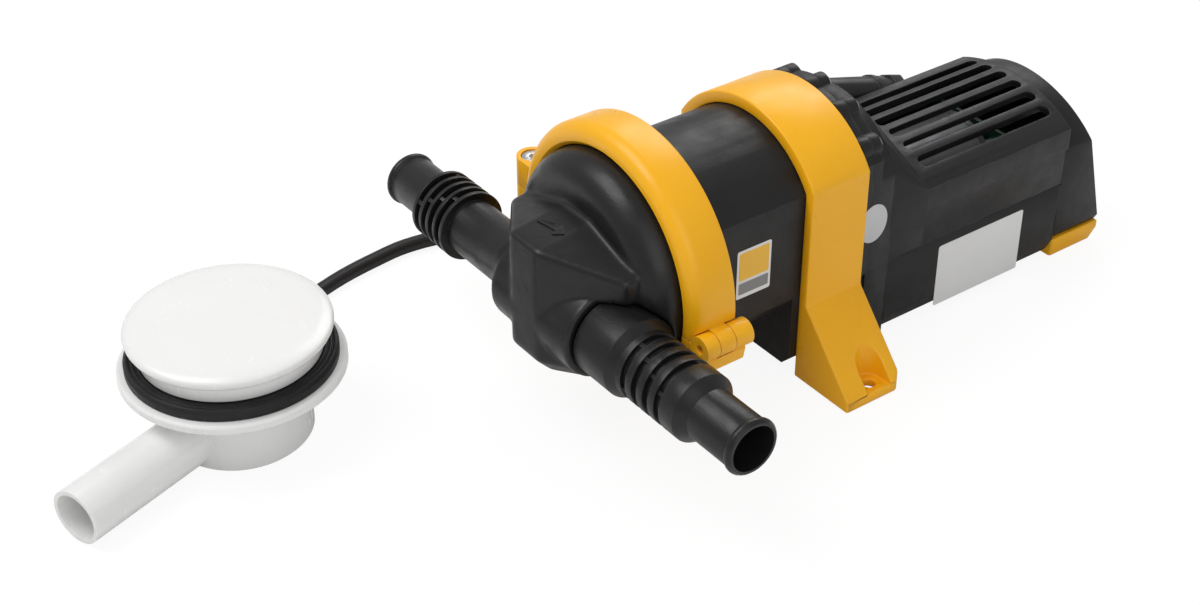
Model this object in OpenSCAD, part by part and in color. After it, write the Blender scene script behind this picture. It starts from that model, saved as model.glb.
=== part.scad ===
// Shower sump pump with its drain: a diaphragm pump on a saddle mount and a sensing shower drain.
// Millimetres. The origin is midway between the saddle's two screw holes, on the mounting plane.
// +X runs towards the outlet tail, +Y from the pump head towards the motor, +Z up.

/* [Pump axis and barrel] */
// Height of the pump axis over the mounting plane
axis_z = 57; // [54:0.5:60]
// Radius of the round part of the barrel
barrel_r = 39.6; // [38:0.1:41]
// Half width between the flat sides of the barrel
barrel_side = 33.4; // [32:0.1:35]
// Wall of the moulded housings
wall = 3; // [2.4:0.1:3.4]
// Place of the parting plane between the head and the barrel
parting_y = -70; // [-72:0.5:-68]
// Thickness of each clamped flange
flange_t = 4.6; // [4:0.1:5.2]
// Step from the barrel out to the clamped flanges
flange_step = 7.4; // [6.4:0.1:8.4]
// Wall of the barrel round the bore behind the diaphragm
front_wall = 4.6; // [4:0.1:6]
// Depth of the round bore behind the diaphragm
front_bore_l = 14; // [10:1:18]

// Front of the gear housing's low half, under the barrel
low_front = -19; // [-20:0.2:-17]
// Underside of the gear housing's low half
low_z = 5; // [5:0.1:6.4]
// Chamfer of the low half's lower edges
low_chamfer = 4; // [2:0.5:6]

/* [Rear flange] */
// Front face of the screwed flange behind the saddle
rear_flange_y = 11.2; // [11:0.1:12]
// Thickness of each half of the screwed flange
rear_flange_t = 4.4; // [4:0.1:5]
// Step from the barrel out to the screwed flange
rear_flange_step = 2; // [1.4:0.1:2.8]
// Radius of a screw lug
lug_r = 4.4; // [4:0.1:5]
// Distance of the lugs' circle outside the barrel
lug_out = 0.2; // [0:0.1:0.6]
// Number of lugs on each arc
lug_count = 5; // [3:1:6]
// Half angle that the lugs of one arc spread over
lug_spread = 46; // [40:1:50]

/* [Head] */
// Gap between the head's dome and the clamp ring's front opening
dome_gap = 0.4; // [0.2:0.1:1.6]
// Front of the head's snout
snout_y = -113.4; // [-115:0.2:-112]
// Half width of the snout's front face
snout_front = 7; // [5:0.5:8]
// Half width of the snout at the clamp ring
snout_side = 34; // [32:0.5:35]
// Place where the snout's slanted faces meet its sides
snout_shoulder_y = -95; // [-97:0.5:-93]
// Height of the snout's ridge
ridge_z = 79; // [77:0.5:81]
// Fall of the snout's top from its middle to its sides
snout_fall = 8.7; // [6:0.1:11]
// Height of the snout's underside
snout_bottom_z = 27; // [26:0.5:30]
// Rise of the chamfer round the snout's underside
snout_chamfer = 7.6; // [5:0.2:10]
// Run of the chamfer round the snout's underside
snout_inset = 5; // [3:0.5:7]
// End of the outlet's fairing along the tail
fairing_x = 25; // [23:0.5:27]
// Fillet of the head's edges
head_fillet = 2.4; // [1.5:0.1:3]
// Radius of the flow chambers
chamber_r = 10.5; // [9:0.5:11]
// Half thickness of the web between the two chambers
web_half = 2; // [1.5:0.1:3]
// Depth of the dished chamber in front of the diaphragm
dish_depth = 9.6; // [9.2:0.1:10]

/* [Hose tails] */
// Height of the hose tails
tail_z = 48.4; // [46:0.1:50]
// Place of the hose tails along the pump
tail_y = -96; // [-97:0.5:-95]
// Reach of each tail from the middle of the pump
tail_reach = 103; // [100:1:120]
// Outer radius of the smooth end for a 19 mm hose
tail_r = 9.7; // [9.5:0.1:9.9]
// Bore of the tail
tail_bore_r = 8.5; // [7.5:0.1:8.6]
// Radius of the bead at the tail's mouth
bead_r = 10.5; // [10.2:0.1:10.8]
// Length of the bead
bead_l = 3.6; // [3:0.1:5]
// Radius of the ribs for a 25 mm hose
rib_r = 12.8; // [12.6:0.1:13]
// Radius between the ribs
rib_root_r = 11; // [10.6:0.1:11.4]
// Start of the ribbed stretch
rib_start = 46.5; // [46:0.5:48]
// Spacing of the ribs
rib_pitch = 6; // [5:0.1:6.2]
// Width of the groove between two ribs
rib_gap = 2.9; // [2:0.1:3.5]
// Number of grooves
rib_count = 4; // [2:1:4]
// End of the ribbed stretch, where the shoulder begins
rib_end = 77; // [76:0.5:80]
// Length of the shoulder's cone
shoulder_l = 4.2; // [3:0.1:6]
// Radius of the outlet's collar
collar_r = 15; // [14.6:0.1:15.4]
// Radius of the inlet's neck
neck_r = 10.8; // [10.6:0.1:11.4]
// Start of the inlet's ribs
inlet_rib_start = 59.2; // [58:0.2:61]
// End of the inlet's ribs
inlet_rib_end = 78.8; // [78:0.2:80]
// Radius of the inlet's ribs
inlet_rib_r = 13.6; // [13.4:0.1:13.8]
// Width of the groove between two of the inlet's ribs
inlet_rib_gap = 3; // [2.6:0.1:3.2]
// Radius of the spigot inside the head
spigot_r = 13.4; // [13:0.1:13.8]
// Inner end of the spigot
spigot_x = 12; // [11:0.5:14]
// Gap between the head and each tail's collar
collar_gap = 0.2; // [0.1:0.1:3]
// Cord radius of the tail's sealing ring
o_ring_r = 1.4; // [1.2:0.1:1.6]

/* [Clamp ring] */
// Thickness of the clamp ring over the flanges
ring_wall = 4.6; // [4:0.1:6]
// Overlap of the ring's front lip with the head's flange
ring_lip = 3.4; // [2.5:0.1:3.5]
// Gap between the ring's back lip and the barrel
ring_back_gap = 0.4; // [0.2:0.1:1.4]
// Width of the ring
ring_w = 18; // [17.4:0.1:19]
// Radius of the ring's rounded shoulder
ring_round = 5; // [3:0.5:5.5]
// Play between the ring and the flanges it holds
ring_play = 0.3; // [0.2:0.05:0.5]
// Distance of the clamp screw outside the ring
clamp_out = 4.9; // [4.4:0.1:6.4]
// Distance of the hinge outside the ring
hinge_out = 2.4; // [2.2:0.1:4]
// Drop of the hinge below the pump axis
hinge_drop = 6; // [4:0.1:7]
// Rise of the split at the screw side over the pump axis
split_rise = 3.2; // [3:0.1:4]
// Radius of the hinge knuckles
knuckle_r = 4.8; // [4.4:0.1:5]
// Radius of the hinge pin
hinge_pin_r = 1.7; // [1.5:0.1:1.9]
// Width of the middle knuckle
knuckle_w = 6.4; // [5:0.1:7]
// Thickness of each screw ear
ear_t = 11; // [9:0.5:12]
// Width of the screw ears along the pump
ear_w = 12; // [10:0.5:14]
// Radius of the clamp screw's shank
clamp_screw_r = 2; // [1.8:0.1:2.4]
// Radius of the clamp screw's head
clamp_head_r = 4; // [3.6:0.1:4.4]
// Height of the clamp screw's head
clamp_head_t = 3; // [2.4:0.1:3.4]
// Room round the clamp screw in the lower ear
clamp_room = 1.6; // [1.5:0.1:2]

/* [Saddle] */
// Front edge of the saddle
saddle_front = -16; // [-17:0.5:-15]
// Rear edge of the saddle
saddle_back = 10.8; // [10:0.1:11]
// Thickness of the saddle's band
saddle_t = 4.8; // [4:0.1:5.6]
// Height where the feet flare out
flare_z = 33; // [30:0.5:36]
// Half width over the feet
foot_x = 62.5; // [60:0.5:66]
// Thickness of the foot's edge
foot_t = 4.5; // [3.5:0.1:6]
// Half spacing of the two screw holes
screw_x = 56.5; // [55:0.5:57.5]
// Radius of a saddle screw hole
screw_hole_r = 2.4; // [2:0.1:2.8]
// Radius of the pocket over a saddle screw hole
pocket_r = 5.6; // [5:0.1:6]
// Corner cut of the foot's rear outer corner
foot_corner = 3.5; // [2:0.5:5]

/* [Motor housing] */
// Height of the motor axis
motor_z = 36; // [35:0.5:37]
// Half width of the motor housing
cover_side = 34; // [33:0.5:35]
// Underside of the motor housing
cover_bottom = 2.2; // [1.6:0.1:3]
// Front of the motor covers
cover_front = 27; // [26:0.5:28]
// Rear of the motor covers
cover_back = 119.5; // [118:0.5:122]
// Height of the seam between the covers
seam_z = 34.6; // [33:0.2:36]
// Lower edge of the finned hood
hood_low = 51; // [50:0.5:53]
// Height of the hood's upright side
hood_side_z = 60; // [58:0.5:62]
// Height of the hood's crown
hood_top = 71; // [70:0.5:73]
// Half width of the hood on the near side
hood_near = 35.2; // [34.6:0.1:36]
// Half width of the hood on the far side
hood_far = 24.5; // [24:0.5:26]
// Height of the shelf beside the hood, under the cable gland
shelf_z = 44; // [42:0.5:45]
// Start of the hood behind its ramp
hood_front = 44; // [42:0.5:46]
// Width of a cooling slot
slot_w = 5; // [4.4:0.1:5.4]
// Spacing of the cooling slots
slot_pitch = 8; // [7.4:0.1:8.6]
// Number of cooling slots
slot_count = 6; // [4:1:6]
// Inset of the cooling slots from the hood's ends
slot_inset = 3.5; // [3:0.5:6]

/* [End cap] */
// Radius of the end cap's arch
cap_arch_r = 39; // [38.4:0.1:40]
// Drop of the end cap's arch centre below the motor axis
cap_arch_drop = 6; // [5:0.5:7]
// Underside of the end cap, on top of the rear foot
cap_bottom = 8; // [7:0.5:10]
// Rear of the end cap at its underside
cap_back_low = 146; // [144:0.5:150]
// Rear of the end cap at its crown
cap_back_high = 129; // [127:0.5:132]
// Length of the rear foot's tongue under the motor cover
foot_tongue = 12; // [8:1:20]

/* [Motor] */
// Outer radius of the motor's can
can_r = 23.5; // [22:0.5:23.6]
// Wall of the motor's can
can_t = 1.6; // [1.2:0.1:2]
// Length of the motor's can
can_l = 66; // [60:1:68]
// Thickness of the motor's end bells
bell_t = 3; // [2.4:0.1:4]
// Radius of the motor shaft
shaft_r = 2.5; // [2:0.1:3]
// Radius of the armature
armature_r = 15.6; // [14:0.1:16]
// Length of the armature's laminations
armature_l = 30; // [26:1:34]
// Thickness of a magnet
magnet_t = 5; // [4:0.1:5.2]
// Radius of the commutator
commutator_r = 7; // [6:0.1:8]
// Length of the commutator
commutator_l = 9; // [8:0.5:10]

/* [Gear and crank] */
// Place of the crankshaft along the pump
crank_y = -4; // [-5:0.5:-3]
// Throw of the crank, half of the stroke
throw = 5; // [4:0.1:5.2]
// Tip radius of the worm wheel
wheel_r = 15.2; // [14:0.1:15.2]
// Width of the worm wheel
wheel_w = 9; // [8:0.5:10]
// Number of teeth on the worm wheel
wheel_teeth = 36; // [24:2:40]
// Depth of the worm wheel's teeth
tooth_depth = 2; // [1.4:0.1:2.4]
// Radius of the crankshaft
crank_r = 4; // [3.5:0.1:4.4]
// Radius of each eccentric
eccentric_r = 9.8; // [9.6:0.1:10.2]
// Width of each eccentric
eccentric_w = 5; // [4:0.5:5]
// Wall of the rod's big end
rod_wall = 3; // [2.4:0.1:3]
// Radius of the crankshaft's bearings
bearing_r = 8; // [7:0.5:9]
// Width of the crankshaft's bearings
bearing_w = 5; // [4:0.5:6]
// Length of the worm
worm_l = 20; // [16:1:22]
// Thickness of the gear plate
plate_t = 3.4; // [3:0.1:4]
// Radius of the rod's stem
stem_r = 5; // [4:0.1:6]

/* [Diaphragm and valves] */
// Thickness of the diaphragm's web
diaphragm_t = 1.6; // [1.2:0.1:2]
// Radius of the diaphragm's working opening
diaphragm_hole_r = 21; // [20.6:0.1:23]
// Radius of the two clamping plates on the rod
plate_r = 15; // [13:0.5:15.4]
// Thickness of each clamping plate
clamp_plate_t = 2.5; // [2:0.1:3]
// Length of a duckbill valve
valve_l = 9; // [7:0.5:10]

/* [Cable gland] */
// Place of the gland's axis across the pump
gland_x = -33; // [-34:0.5:-32]
// Place of the gland's seat along the pump
gland_y = 50; // [49:0.5:51]
// Height of the gland's axis at its seat
gland_z = 66.6; // [66:0.2:67.4]
// Fall of the gland's axis
gland_pitch = 16; // [15:0.5:17]
// Radius of the gland's body
gland_r = 7.2; // [6.8:0.1:7.4]
// Length of the gland's body
gland_l = 34; // [32:0.5:36]
// Radius of the gland's nut
gland_nut_r = 8; // [7.6:0.1:8.2]
// Length of the gland's nut
gland_nut_l = 10; // [8:0.5:11]

/* [Sensor lead] */
// Outer diameter of the sensor lead
lead_d = 6; // [5.6:0.1:6.2]
// Radius of the coil's outermost turn, to the middle of the lead
coil_r = 42; // [40:0.5:42]
// Turns in each of the coil's two layers
coil_turns = 3; // [2:1:3]
// Spacing of the coil's turns, from centre to centre
coil_pitch = 7.2; // [7:0.1:7.6]
// Rise between the coil's layers
coil_rise = 6.8; // [6.7:0.1:7.4]

/* [Drain] */
// Place of the drain across the pump
drain_x = -61.5; // [-64:0.5:-60]
// Place of the drain along the pump
drain_y = -195.6; // [-198:0.2:-194]
// Radius of the drain's pot
pot_r = 26.3; // [25:0.1:27]
// Radius of the drain's flange
drain_flange_r = 40.3; // [38:0.1:42]
// Height of the drain's flange
drain_top = 31; // [30:0.5:33]
// Thickness of the drain's flange
drain_flange_t = 4; // [3:0.1:5]
// Wall of the drain's pot
pot_wall = 2.6; // [2:0.1:3]
// Radius of the drain's outlet tube
spout_r = 10.3; // [10:0.1:10.6]
// Bore of the drain's outlet tube
spout_bore_r = 8.6; // [8:0.1:8.8]
// Reach of the outlet tube from the middle of the drain
spout_reach = 77; // [70:1:84]
// Direction of the outlet tube
spout_turn = -71.8; // [-75:0.2:-68]
// Height of the outlet tube's axis
spout_z = 10.8; // [10.7:0.1:12]
// Outer radius of the gasket
gasket_r = 37.6; // [36:0.1:38.4]
// Thickness of the gasket
gasket_t = 4.4; // [3.6:0.1:5]
// Number of raised rings on the gasket
gasket_rings = 3; // [2:1:4]
// Radius of the strainer's rim
strainer_r = 32.5; // [31:0.5:34]
// Height of the strainer's rim over the gasket
strainer_h = 6; // [5:0.1:8]
// Radius of the drain cap
cap_r = 36.6; // [35:0.1:38]
// Thickness of the drain cap
cap_t = 7; // [6.5:0.1:9]
// Number of holes in a ring of the strainer
strainer_holes = 12; // [8:1:14]

/* [Hidden] */
$fn = 64;
// Play of a seat between two fixed pieces
seat = 0.1;
// Running play of a shaft or pin
run = 0.06;
// Clearance between pieces that move past each other
clear = 0.4;
// Overrun of every cut
over = 1;
// Thickness of the thin slices that hulls join
slice_t = 0.2;
// Play between the head and the faces it turns against when the clamp is slack
swivel_play = 0.3;
// Small bevel of a moulded edge
bevel = 0.8;
// Sink of one form into the next, so that they join in one solid
sink = 0.3;

// Clamp ring and head
flange_r = barrel_r + flange_step;
front_bore_r = barrel_r - front_wall;
rear_flange_r = barrel_r + rear_flange_step;
lug_circle_r = barrel_r + lug_out;
ring_r = flange_r + ring_wall;
ring_open_r = flange_r - ring_lip;
ring_back_r = barrel_r + ring_back_gap;
dome_r = ring_open_r - dome_gap;
clamp_x = ring_r + clamp_out;
hinge_x = ring_r + hinge_out;
ring_front = parting_y - ring_w / 2;
ring_back = parting_y + ring_w / 2;
head_face = parting_y - swivel_play;
flange_front = head_face - flange_t;
channel_r = flange_r + ring_play;
channel_front = flange_front - ring_play;
channel_back = parting_y + flange_t + ring_play;
dome_round = 11;
dome_front = ring_front - dome_round;
snout_facets = 16;
dish_lip = 2;
bead_groove_t = 1.6;
membrane_bead_w = 3.6;
bead_out = flange_r - membrane_bead_w;
bead_in = bead_out - membrane_bead_w;
ridge_rise_share = 0.13;
boss_r = tail_y - snout_y;
hinge_z = axis_z - hinge_drop;
split_z = axis_z + split_rise;
split_gap = 0.4;
ear_y = parting_y;
ear_root = 1;
saddle_edge = 1;
band_steps = 28;
ring_edge = 1.4;
knuckle_out = 2;
wedge_drop_share = 0.38;
wedge_shares = [0.6, 0.4];
knuckle_root = 2;
pin_inset = 2;
clamp_screw_l = 24;
drive_r = 1.5;
rib_lead = 1.2;
rib_first = 2.6;
key_w = 1.4;
key_turn = 14;
key_start = 20;
key_step = 90;
collar_end = 3.4;
collar_step = 1.4;
neck_lip = 2;
neck_l = 9;
spigot_lip = 2.4;
valve_t = 2;
valve_body_r = 6;
valve_wall = 1.3;
spigot_in = spigot_x + valve_t + seat;
valve_pocket_step = 0.7;
valve_pocket_end = spigot_x + valve_t + valve_l + 2 * clear;
groove_w = 2 * o_ring_r + 2 * seat;
groove_x = spigot_in + spigot_lip;
o_ring_facets = 24;
inlet_boss_step = 1.6;
inlet_boss_x = groove_x + groove_w + inlet_boss_step;
collar_x = fairing_x + collar_gap;

// Rear flange, gear plate and crank
flange_out = 1;
flange_screw_r = 1.5;
flange_screw_head_r = 2.8;
flange_screw_head_t = 2.2;
plate_screw_r = 2.5;
plate_screw_head = 1.6;
cover_y = rear_flange_y + rear_flange_t + seat;
rear_r = lug_circle_r - flange_screw_head_r - clear;
plate_seat = 2.6;
plate_y = cover_y + wall + seat;
plate_back = plate_y + plate_t;
inner_screw_angle = 40;
gear_distance = axis_z - motor_z;
gear_play = 0.2;
worm_r = gear_distance - wheel_r - gear_play;
worm_inset = 1;
thread_slices = 36;
thread_facets = 12;
eccentric_gap = 2.6;
eccentric_x = wheel_w / 2 + eccentric_gap;
big_end_r = eccentric_r + run + rod_wall;
cheek_gap = 1.6;
cheek_x = eccentric_x + eccentric_w + cheek_gap;
cheek_t = bearing_w;
cheek_half = bearing_r + wall;
fork_gap = 3;
fork_y = crank_y - wheel_r - throw - fork_gap;
fork_t = 6;
plates_inset = 2.5;
plates_front = parting_y + plates_inset;
plates_back = plates_front + 2 * clamp_plate_t;
plate_bevel = 1;
roll_inset = 1;
roll_share = 0.45;
roll_step = (front_bore_r - diaphragm_hole_r - 2 * roll_inset) * roll_share / 6;
roll_h = 1.6;

// Motor
can_front = plate_back + seat + bell_t;
can_back = can_front + can_l;
bell_back = can_back + bell_t;
bush_r = 5;
bush_l = 5;
bush_wall = 2;
plate_screw_share = 0.66;
plate_screw_x = can_r * plate_screw_share;
armature_gap = 14;
armature_y = can_front + armature_gap;
armature_slots = 7;
armature_slot_w = 1.8;
armature_slot_share = 0.55;
winding_inset = 2;
winding_round = 1.5;
winding_l = 5;
commutator_gap = 6;
commutator_y = armature_y + armature_l + commutator_gap;
brush_w = 4;
brush_l = 6;
magnet_spread_share = 1.2;
board_gap = 6;
board_y = bell_back + board_gap;
board_t = 1.6;
board_half = 24;
board_low = 14;
board_high = 56;
board_notch_x = 3 * clear + wall - hood_far;
board_notch_z = shelf_z - wall - 3 * clear;
post_share = 0.6;
relay_w = 12;
relay_t = 8;
relay_h = 10;
relay_shares = [-0.5, 0.2];
capacitor_r = 5;
capacitor_l = 9;
capacitor_drop = 10;

// Motor covers
crown_rise = hood_top - hood_side_z;
crown_r = (hood_near * hood_near + crown_rise * crown_rise) / (2 * crown_rise);
crown_z = hood_top - crown_r;
hood_mid = (hood_near - hood_far) / 2;
cover_thinning = 0.4;
cover_wall = wall - cover_thinning;
ramp_facets = 40;
arch_z = motor_z - cap_arch_drop;
slot_y0 = hood_front + slot_inset;
slot_y1 = cover_back - slot_inset;
cover_chamfer = 6;
foot_cut_share = 0.5;

// Cable gland
boss_l = 20;
boss_wall = 1;
gland_band_place_share = 0.78;
gland_band_share = 0.08;
gland_band = 0.6;
nut_neck = 1.2;
nut_place_share = 0.3;
nut_share = 0.6;
nut_sides = 8;

// Sensor lead: routes in the part's frame, points chosen by hand
lead_r = lead_d / 2;
lead_z = lead_r + seat;
coil_x = -80;
coil_y = 58;
coil_last_share = 1 / 6;
coil_total = 2 * coil_turns + coil_last_share;
coil_start = -60;
pump_route = [[-33, 92.5, 54.4], [-33, 98.3, 52.7], [-35, 105, 50.4], [-38.4, 111, 46.8], [-40, 117, 41],
    [-40, 121, 33], [-40, 121.5, 25], [-39.4, 118, 17.5], [-38.6, 110, 12], [-38, 100, 10],
    [-38, 86, 9.9], [-38, 72, 9.9], [-38, 64.1, 9.9]];
drain_route = [[-64.3, 18.6, 3.1], [-69.5, 15.6, 3.1], [-77, 9, 3.1], [-83, -2, 3.1], [-87, -16, 3.1],
    [-92, -34, 3.1], [-101, -48, 3.1], [-112, -59, 3.1], [-120, -72, 3.1], [-123, -88, 3.1],
    [-122, -102, 3.1], [-119, -120, 3.1], [-113, -140, 3.2], [-106, -153, 6], [-99.6, -162.8, 12.4],
    [-94.3, -168.1, 15], [-88.7, -172.8, 15]];
lead_sides = 8;
coil_sides = 6;
coil_rings = 24;
route_steps = 2;

// Drain
spout_floor_step = 0.2;
drain_floor = spout_z - spout_bore_r - spout_floor_step;
pot_edge = 1;
pot_in = pot_r - pot_wall;
gasket_lip = 1;
gasket_edge = 0.4;
gasket_groove = 1;
gasket_bump = 0.8;
gasket_edge_t = 1.4;
bump_shares = [0.3, 0.7];
strainer_z = drain_top + gasket_t;
cap_play = 0.3;
cap_low = strainer_z + strainer_h + cap_play;
cap_round = 3.6;
strainer_wall = 2;
strainer_drop = 8;
basket_gap = 3.7;
strainer_basket_r = pot_in - basket_gap;
strainer_hole_r = 1.7;
hole_ring_shares = [0.72, 0.44];
skirt_l = 3.4;
crown_run = 9;
crown_dome = 0.9;
crown_flat_share = 0.55;
crown_fall_share = 0.25;
column_r = 5;
column_h = 18;
column_bore_share = 1 / 3;
spout_inset = 1;
drain_screw_r = 2;
drain_gland_l = 9;
drain_gland_turn = 140;
drain_gland_z = 15;
drain_gland_r = 5.4;
drain_gland_step = 1;
seat_share = 0.4;
hex_place_share = 0.3;
hex_share = 0.35;
gland_reach = 2;
probe_l = 7;
probe_wall = 1.4;
pin_r = 0.8;
pin_l = 3;
pin_half = 2;

// Extrudes a shape drawn across the pump, with its second axis up, from y0 to y1
module slab_y(y0, y1) {
  translate([0, y1, 0]) rotate([90, 0, 0]) linear_extrude(y1 - y0) children();
}

// Extrudes a shape drawn along the pump, with its second axis up, from x0 to x1
module slab_x(x0, x1) {
  translate([x0, 0, 0]) rotate([90, 0, 90]) linear_extrude(x1 - x0) children();
}

// Turns an outline of [radius, place] round an axis along Y at height z
module turned_y(points, z = axis_z) {
  translate([0, 0, z]) rotate([-90, 0, 0]) rotate_extrude() polygon(points);
}

// Turns an outline of [radius, place] round the axis of the hose tails
module turned_tail(points) {
  translate([0, tail_y, tail_z]) rotate([0, 90, 0]) rotate_extrude() polygon(points);
}

// Cylinder along Y
module rod_y(r, y0, y1, x = 0, z = axis_z) {
  translate([x, y0, z]) rotate([-90, 0, 0]) cylinder(r = r, h = y1 - y0);
}

// Cylinder along X
module rod_x(r, x0, x1, y = tail_y, z = tail_z) {
  translate([x0, y, z]) rotate([0, 90, 0]) cylinder(r = r, h = x1 - x0);
}

// Box between two corners
module block(low, high) {
  translate(low) cube(high - low);
}

// Copies its child on both sides of the pump
module both_sides() {
  children();
  mirror([1, 0, 0]) children();
}

// Quarter arc of points from angle a0 to a1 about a centre
function arc(cx, cy, r, a0, a1, n = 6) = [for (i = [0:n]) let (a = a0 + (a1 - a0) * i / n)
    [cx + r * cos(a), cy + r * sin(a)]];

// Section of the barrel: a circle between two flat sides
module barrel_shape(r, side) {
  intersection() {
    translate([0, axis_z]) circle(r);
    translate([-side, axis_z - r]) square([2 * side, 2 * r]);
  }
}

// The barrel's section with straight sides carried down to low
module rear_shape(r, side, low) {
  intersection() {
    union() {
      translate([0, axis_z]) circle(r);
      translate([-r, low]) square([2 * r, axis_z - low]);
    }
    translate([-side, low]) square([2 * side, axis_z + r - low]);
  }
}

// Section of the gear housing's low half under the barrel, drawn in on all sides
module low_shape(inset) {
  side = barrel_side - inset;
  low = low_z + inset;
  polygon([[-side, axis_z], [-side, low + low_chamfer], [low_chamfer - side, low], [side - low_chamfer, low],
      [side, low + low_chamfer], [side, axis_z]]);
}

// Half widths and places of the snout's corners, drawn in by its fillet
function snout_plan(inset) = [
    [snout_side - head_fillet - inset, ring_front - head_fillet],
    [snout_side - head_fillet - inset, snout_shoulder_y + head_fillet / 2 + inset / 2],
    [snout_front, snout_y + head_fillet + inset]];

// Height of the snout's top face, drawn in by its fillet, at a place x, y
function snout_top(x, y) = ridge_z + (y - snout_y) * ridge_rise_share - head_fillet
    - snout_fall * (x - snout_front) / (snout_side - snout_front);

module snout() {
  hull() both_sides() {
    for (p = snout_plan(snout_inset)) {
      translate([p[0], p[1], snout_bottom_z + head_fillet]) sphere(head_fillet, $fn = snout_facets);
    }
    for (p = snout_plan(0)) {
      translate([p[0], p[1], snout_bottom_z + snout_chamfer]) sphere(head_fillet, $fn = snout_facets);
      translate([p[0], p[1], snout_top(p[0], p[1])]) sphere(head_fillet, $fn = snout_facets);
    }
    translate([snout_front, ring_front - head_fillet, snout_top(snout_front, ring_front)])
        sphere(head_fillet, $fn = snout_facets);
  }
}

module head_housing() {
  passage_x = (spigot_x + web_half) / 2;
  passage_r = (spigot_x - web_half) / 2 - seat;
  color("#1d1d1f") difference() {
    union() {
      turned_y(concat([[0, dome_front]], arc(dome_r - dome_round, ring_front, dome_round, -90, 0, 8),
          [[dome_r, flange_front], [flange_r, flange_front], [flange_r, head_face], [0, head_face]]));
      snout();
      rod_x(boss_r, -inlet_boss_x, fairing_x);
    }
    both_sides() {
      rod_x(spigot_r + seat, spigot_x, dome_r + over);
      rod_x(chamber_r, web_half, spigot_x + over);
      rod_y(passage_r, tail_y, head_face + over, passage_x, tail_z);
    }
    rod_x(collar_r + clear, fairing_x, dome_r + over);
    rod_x(collar_r + clear, -dome_r - over, -inlet_boss_x);
    turned_y([[0, head_face - dish_depth], [diaphragm_hole_r, head_face - dish_depth],
        [front_bore_r - dish_lip, head_face - wall], [front_bore_r - dish_lip, head_face + over],
        [0, head_face + over]]);
    turned_y([[bead_in - swivel_play, head_face - bead_groove_t],
        [bead_out + swivel_play, head_face - bead_groove_t],
        [bead_out + swivel_play, head_face + over], [bead_in - swivel_play, head_face + over]]);
  }
}

// Outline of the grooves between a tail's ribs, the first one at a place along the tail
function rib_grooves(r, first, pitch, gap) = [for (i = [0:rib_count - 1]) let (x = first + i * pitch)
    each [[r, x], [rib_root_r, x], [rib_root_r, x + gap], [r, x + gap]]];

// Outline of a tail's smooth end and bead
function tail_end() = concat([[tail_r, tail_reach - bead_l]],
    arc(bead_r - bead_l / 2, tail_reach - bead_l / 2, bead_l / 2, -60, 60, 6),
    [[tail_r - sink, tail_reach], [tail_bore_r, tail_reach]]);

// Outline of a tail's spigot inside the head, with the groove of its sealing ring
function tail_inner() = [[tail_bore_r, spigot_in], [spigot_r, spigot_in],
    [spigot_r, groove_x], [spigot_r - 2 * o_ring_r, groove_x],
    [spigot_r - 2 * o_ring_r, groove_x + groove_w], [spigot_r, groove_x + groove_w]];

// Short keys that bridge the grooves of a tail
module tail_keys(r, first, pitch, gap) {
  translate([0, tail_y, tail_z]) rotate([0, 90, 0]) for (q = [0:3], i = [0:rib_count - 1]) {
    rotate([0, 0, key_start + q * key_step + i * key_turn])
        translate([rib_root_r - sink, -key_w / 2, first + i * pitch]) cube([r - rib_root_r - sink, key_w, gap]);
  }
}

module outlet_tail() {
  first = rib_start + rib_first;
  color("#202022") difference() {
    union() {
      turned_tail(concat(tail_inner(), [[spigot_r, collar_x], [collar_r - bevel, collar_x],
          [collar_r, collar_x + bevel], [collar_r, rib_start - collar_end],
          [collar_r - collar_step, rib_start - rib_lead], [rib_r, rib_start]],
          rib_grooves(rib_r, first, rib_pitch, rib_gap), [[rib_r, rib_end], [tail_r, rib_end + shoulder_l]],
          tail_end()));
      tail_keys(rib_r, first, rib_pitch, rib_gap);
    }
    rod_x(tail_bore_r + valve_pocket_step, spigot_x, valve_pocket_end);
  }
}

module inlet_tail() {
  disc = (inlet_rib_end - inlet_rib_start - rib_count * inlet_rib_gap) / (rib_count + 1);
  first = inlet_rib_start + disc;
  pitch = disc + inlet_rib_gap;
  neck_x = inlet_boss_x + collar_gap;
  color("#202022") mirror([1, 0, 0]) union() {
    turned_tail(concat(tail_inner(), [[spigot_r, neck_x], [collar_r, neck_x],
        [collar_r - bevel, neck_x + neck_lip], [neck_r, neck_x + neck_l], [neck_r, inlet_rib_start],
        [inlet_rib_r, inlet_rib_start]],
        rib_grooves(inlet_rib_r, first, pitch, inlet_rib_gap),
        [[inlet_rib_r, inlet_rib_end], [tail_r, inlet_rib_end]], tail_end()));
    tail_keys(inlet_rib_r, first, pitch, inlet_rib_gap);
  }
}

module tail_o_rings() {
  color("#111111") both_sides() translate([groove_x + groove_w / 2, tail_y, tail_z])
      rotate([0, 90, 0]) rotate_extrude() translate([spigot_r - o_ring_r - seat / 2, 0])
          circle(o_ring_r - seat, $fn = o_ring_facets);
}

// Duckbill valve seated at the spigot, with its body between two places along the tail
module valve(body_from, body_to, bore_from, bore_to) {
  color("#3a3a3c") difference() {
    union() {
      rod_x(spigot_r, spigot_x, spigot_x + valve_t);
      rod_x(valve_body_r, body_from, body_to);
    }
    rod_x(valve_body_r - valve_wall, bore_from, bore_to);
    block([body_from - over, tail_y - valve_body_r / 2, tail_z - slice_t],
        [body_to + over, tail_y + valve_body_r / 2, tail_z + slice_t]);
  }
}

module outlet_valve() {
  lips_x = spigot_x + valve_t + valve_l;
  valve(spigot_x, lips_x, spigot_x - over, lips_x - valve_wall);
}

module inlet_valve() {
  lips_x = spigot_x - valve_l;
  mirror([1, 0, 0]) valve(lips_x, spigot_x + valve_t, lips_x + valve_wall, spigot_x + valve_t + over);
}

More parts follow.
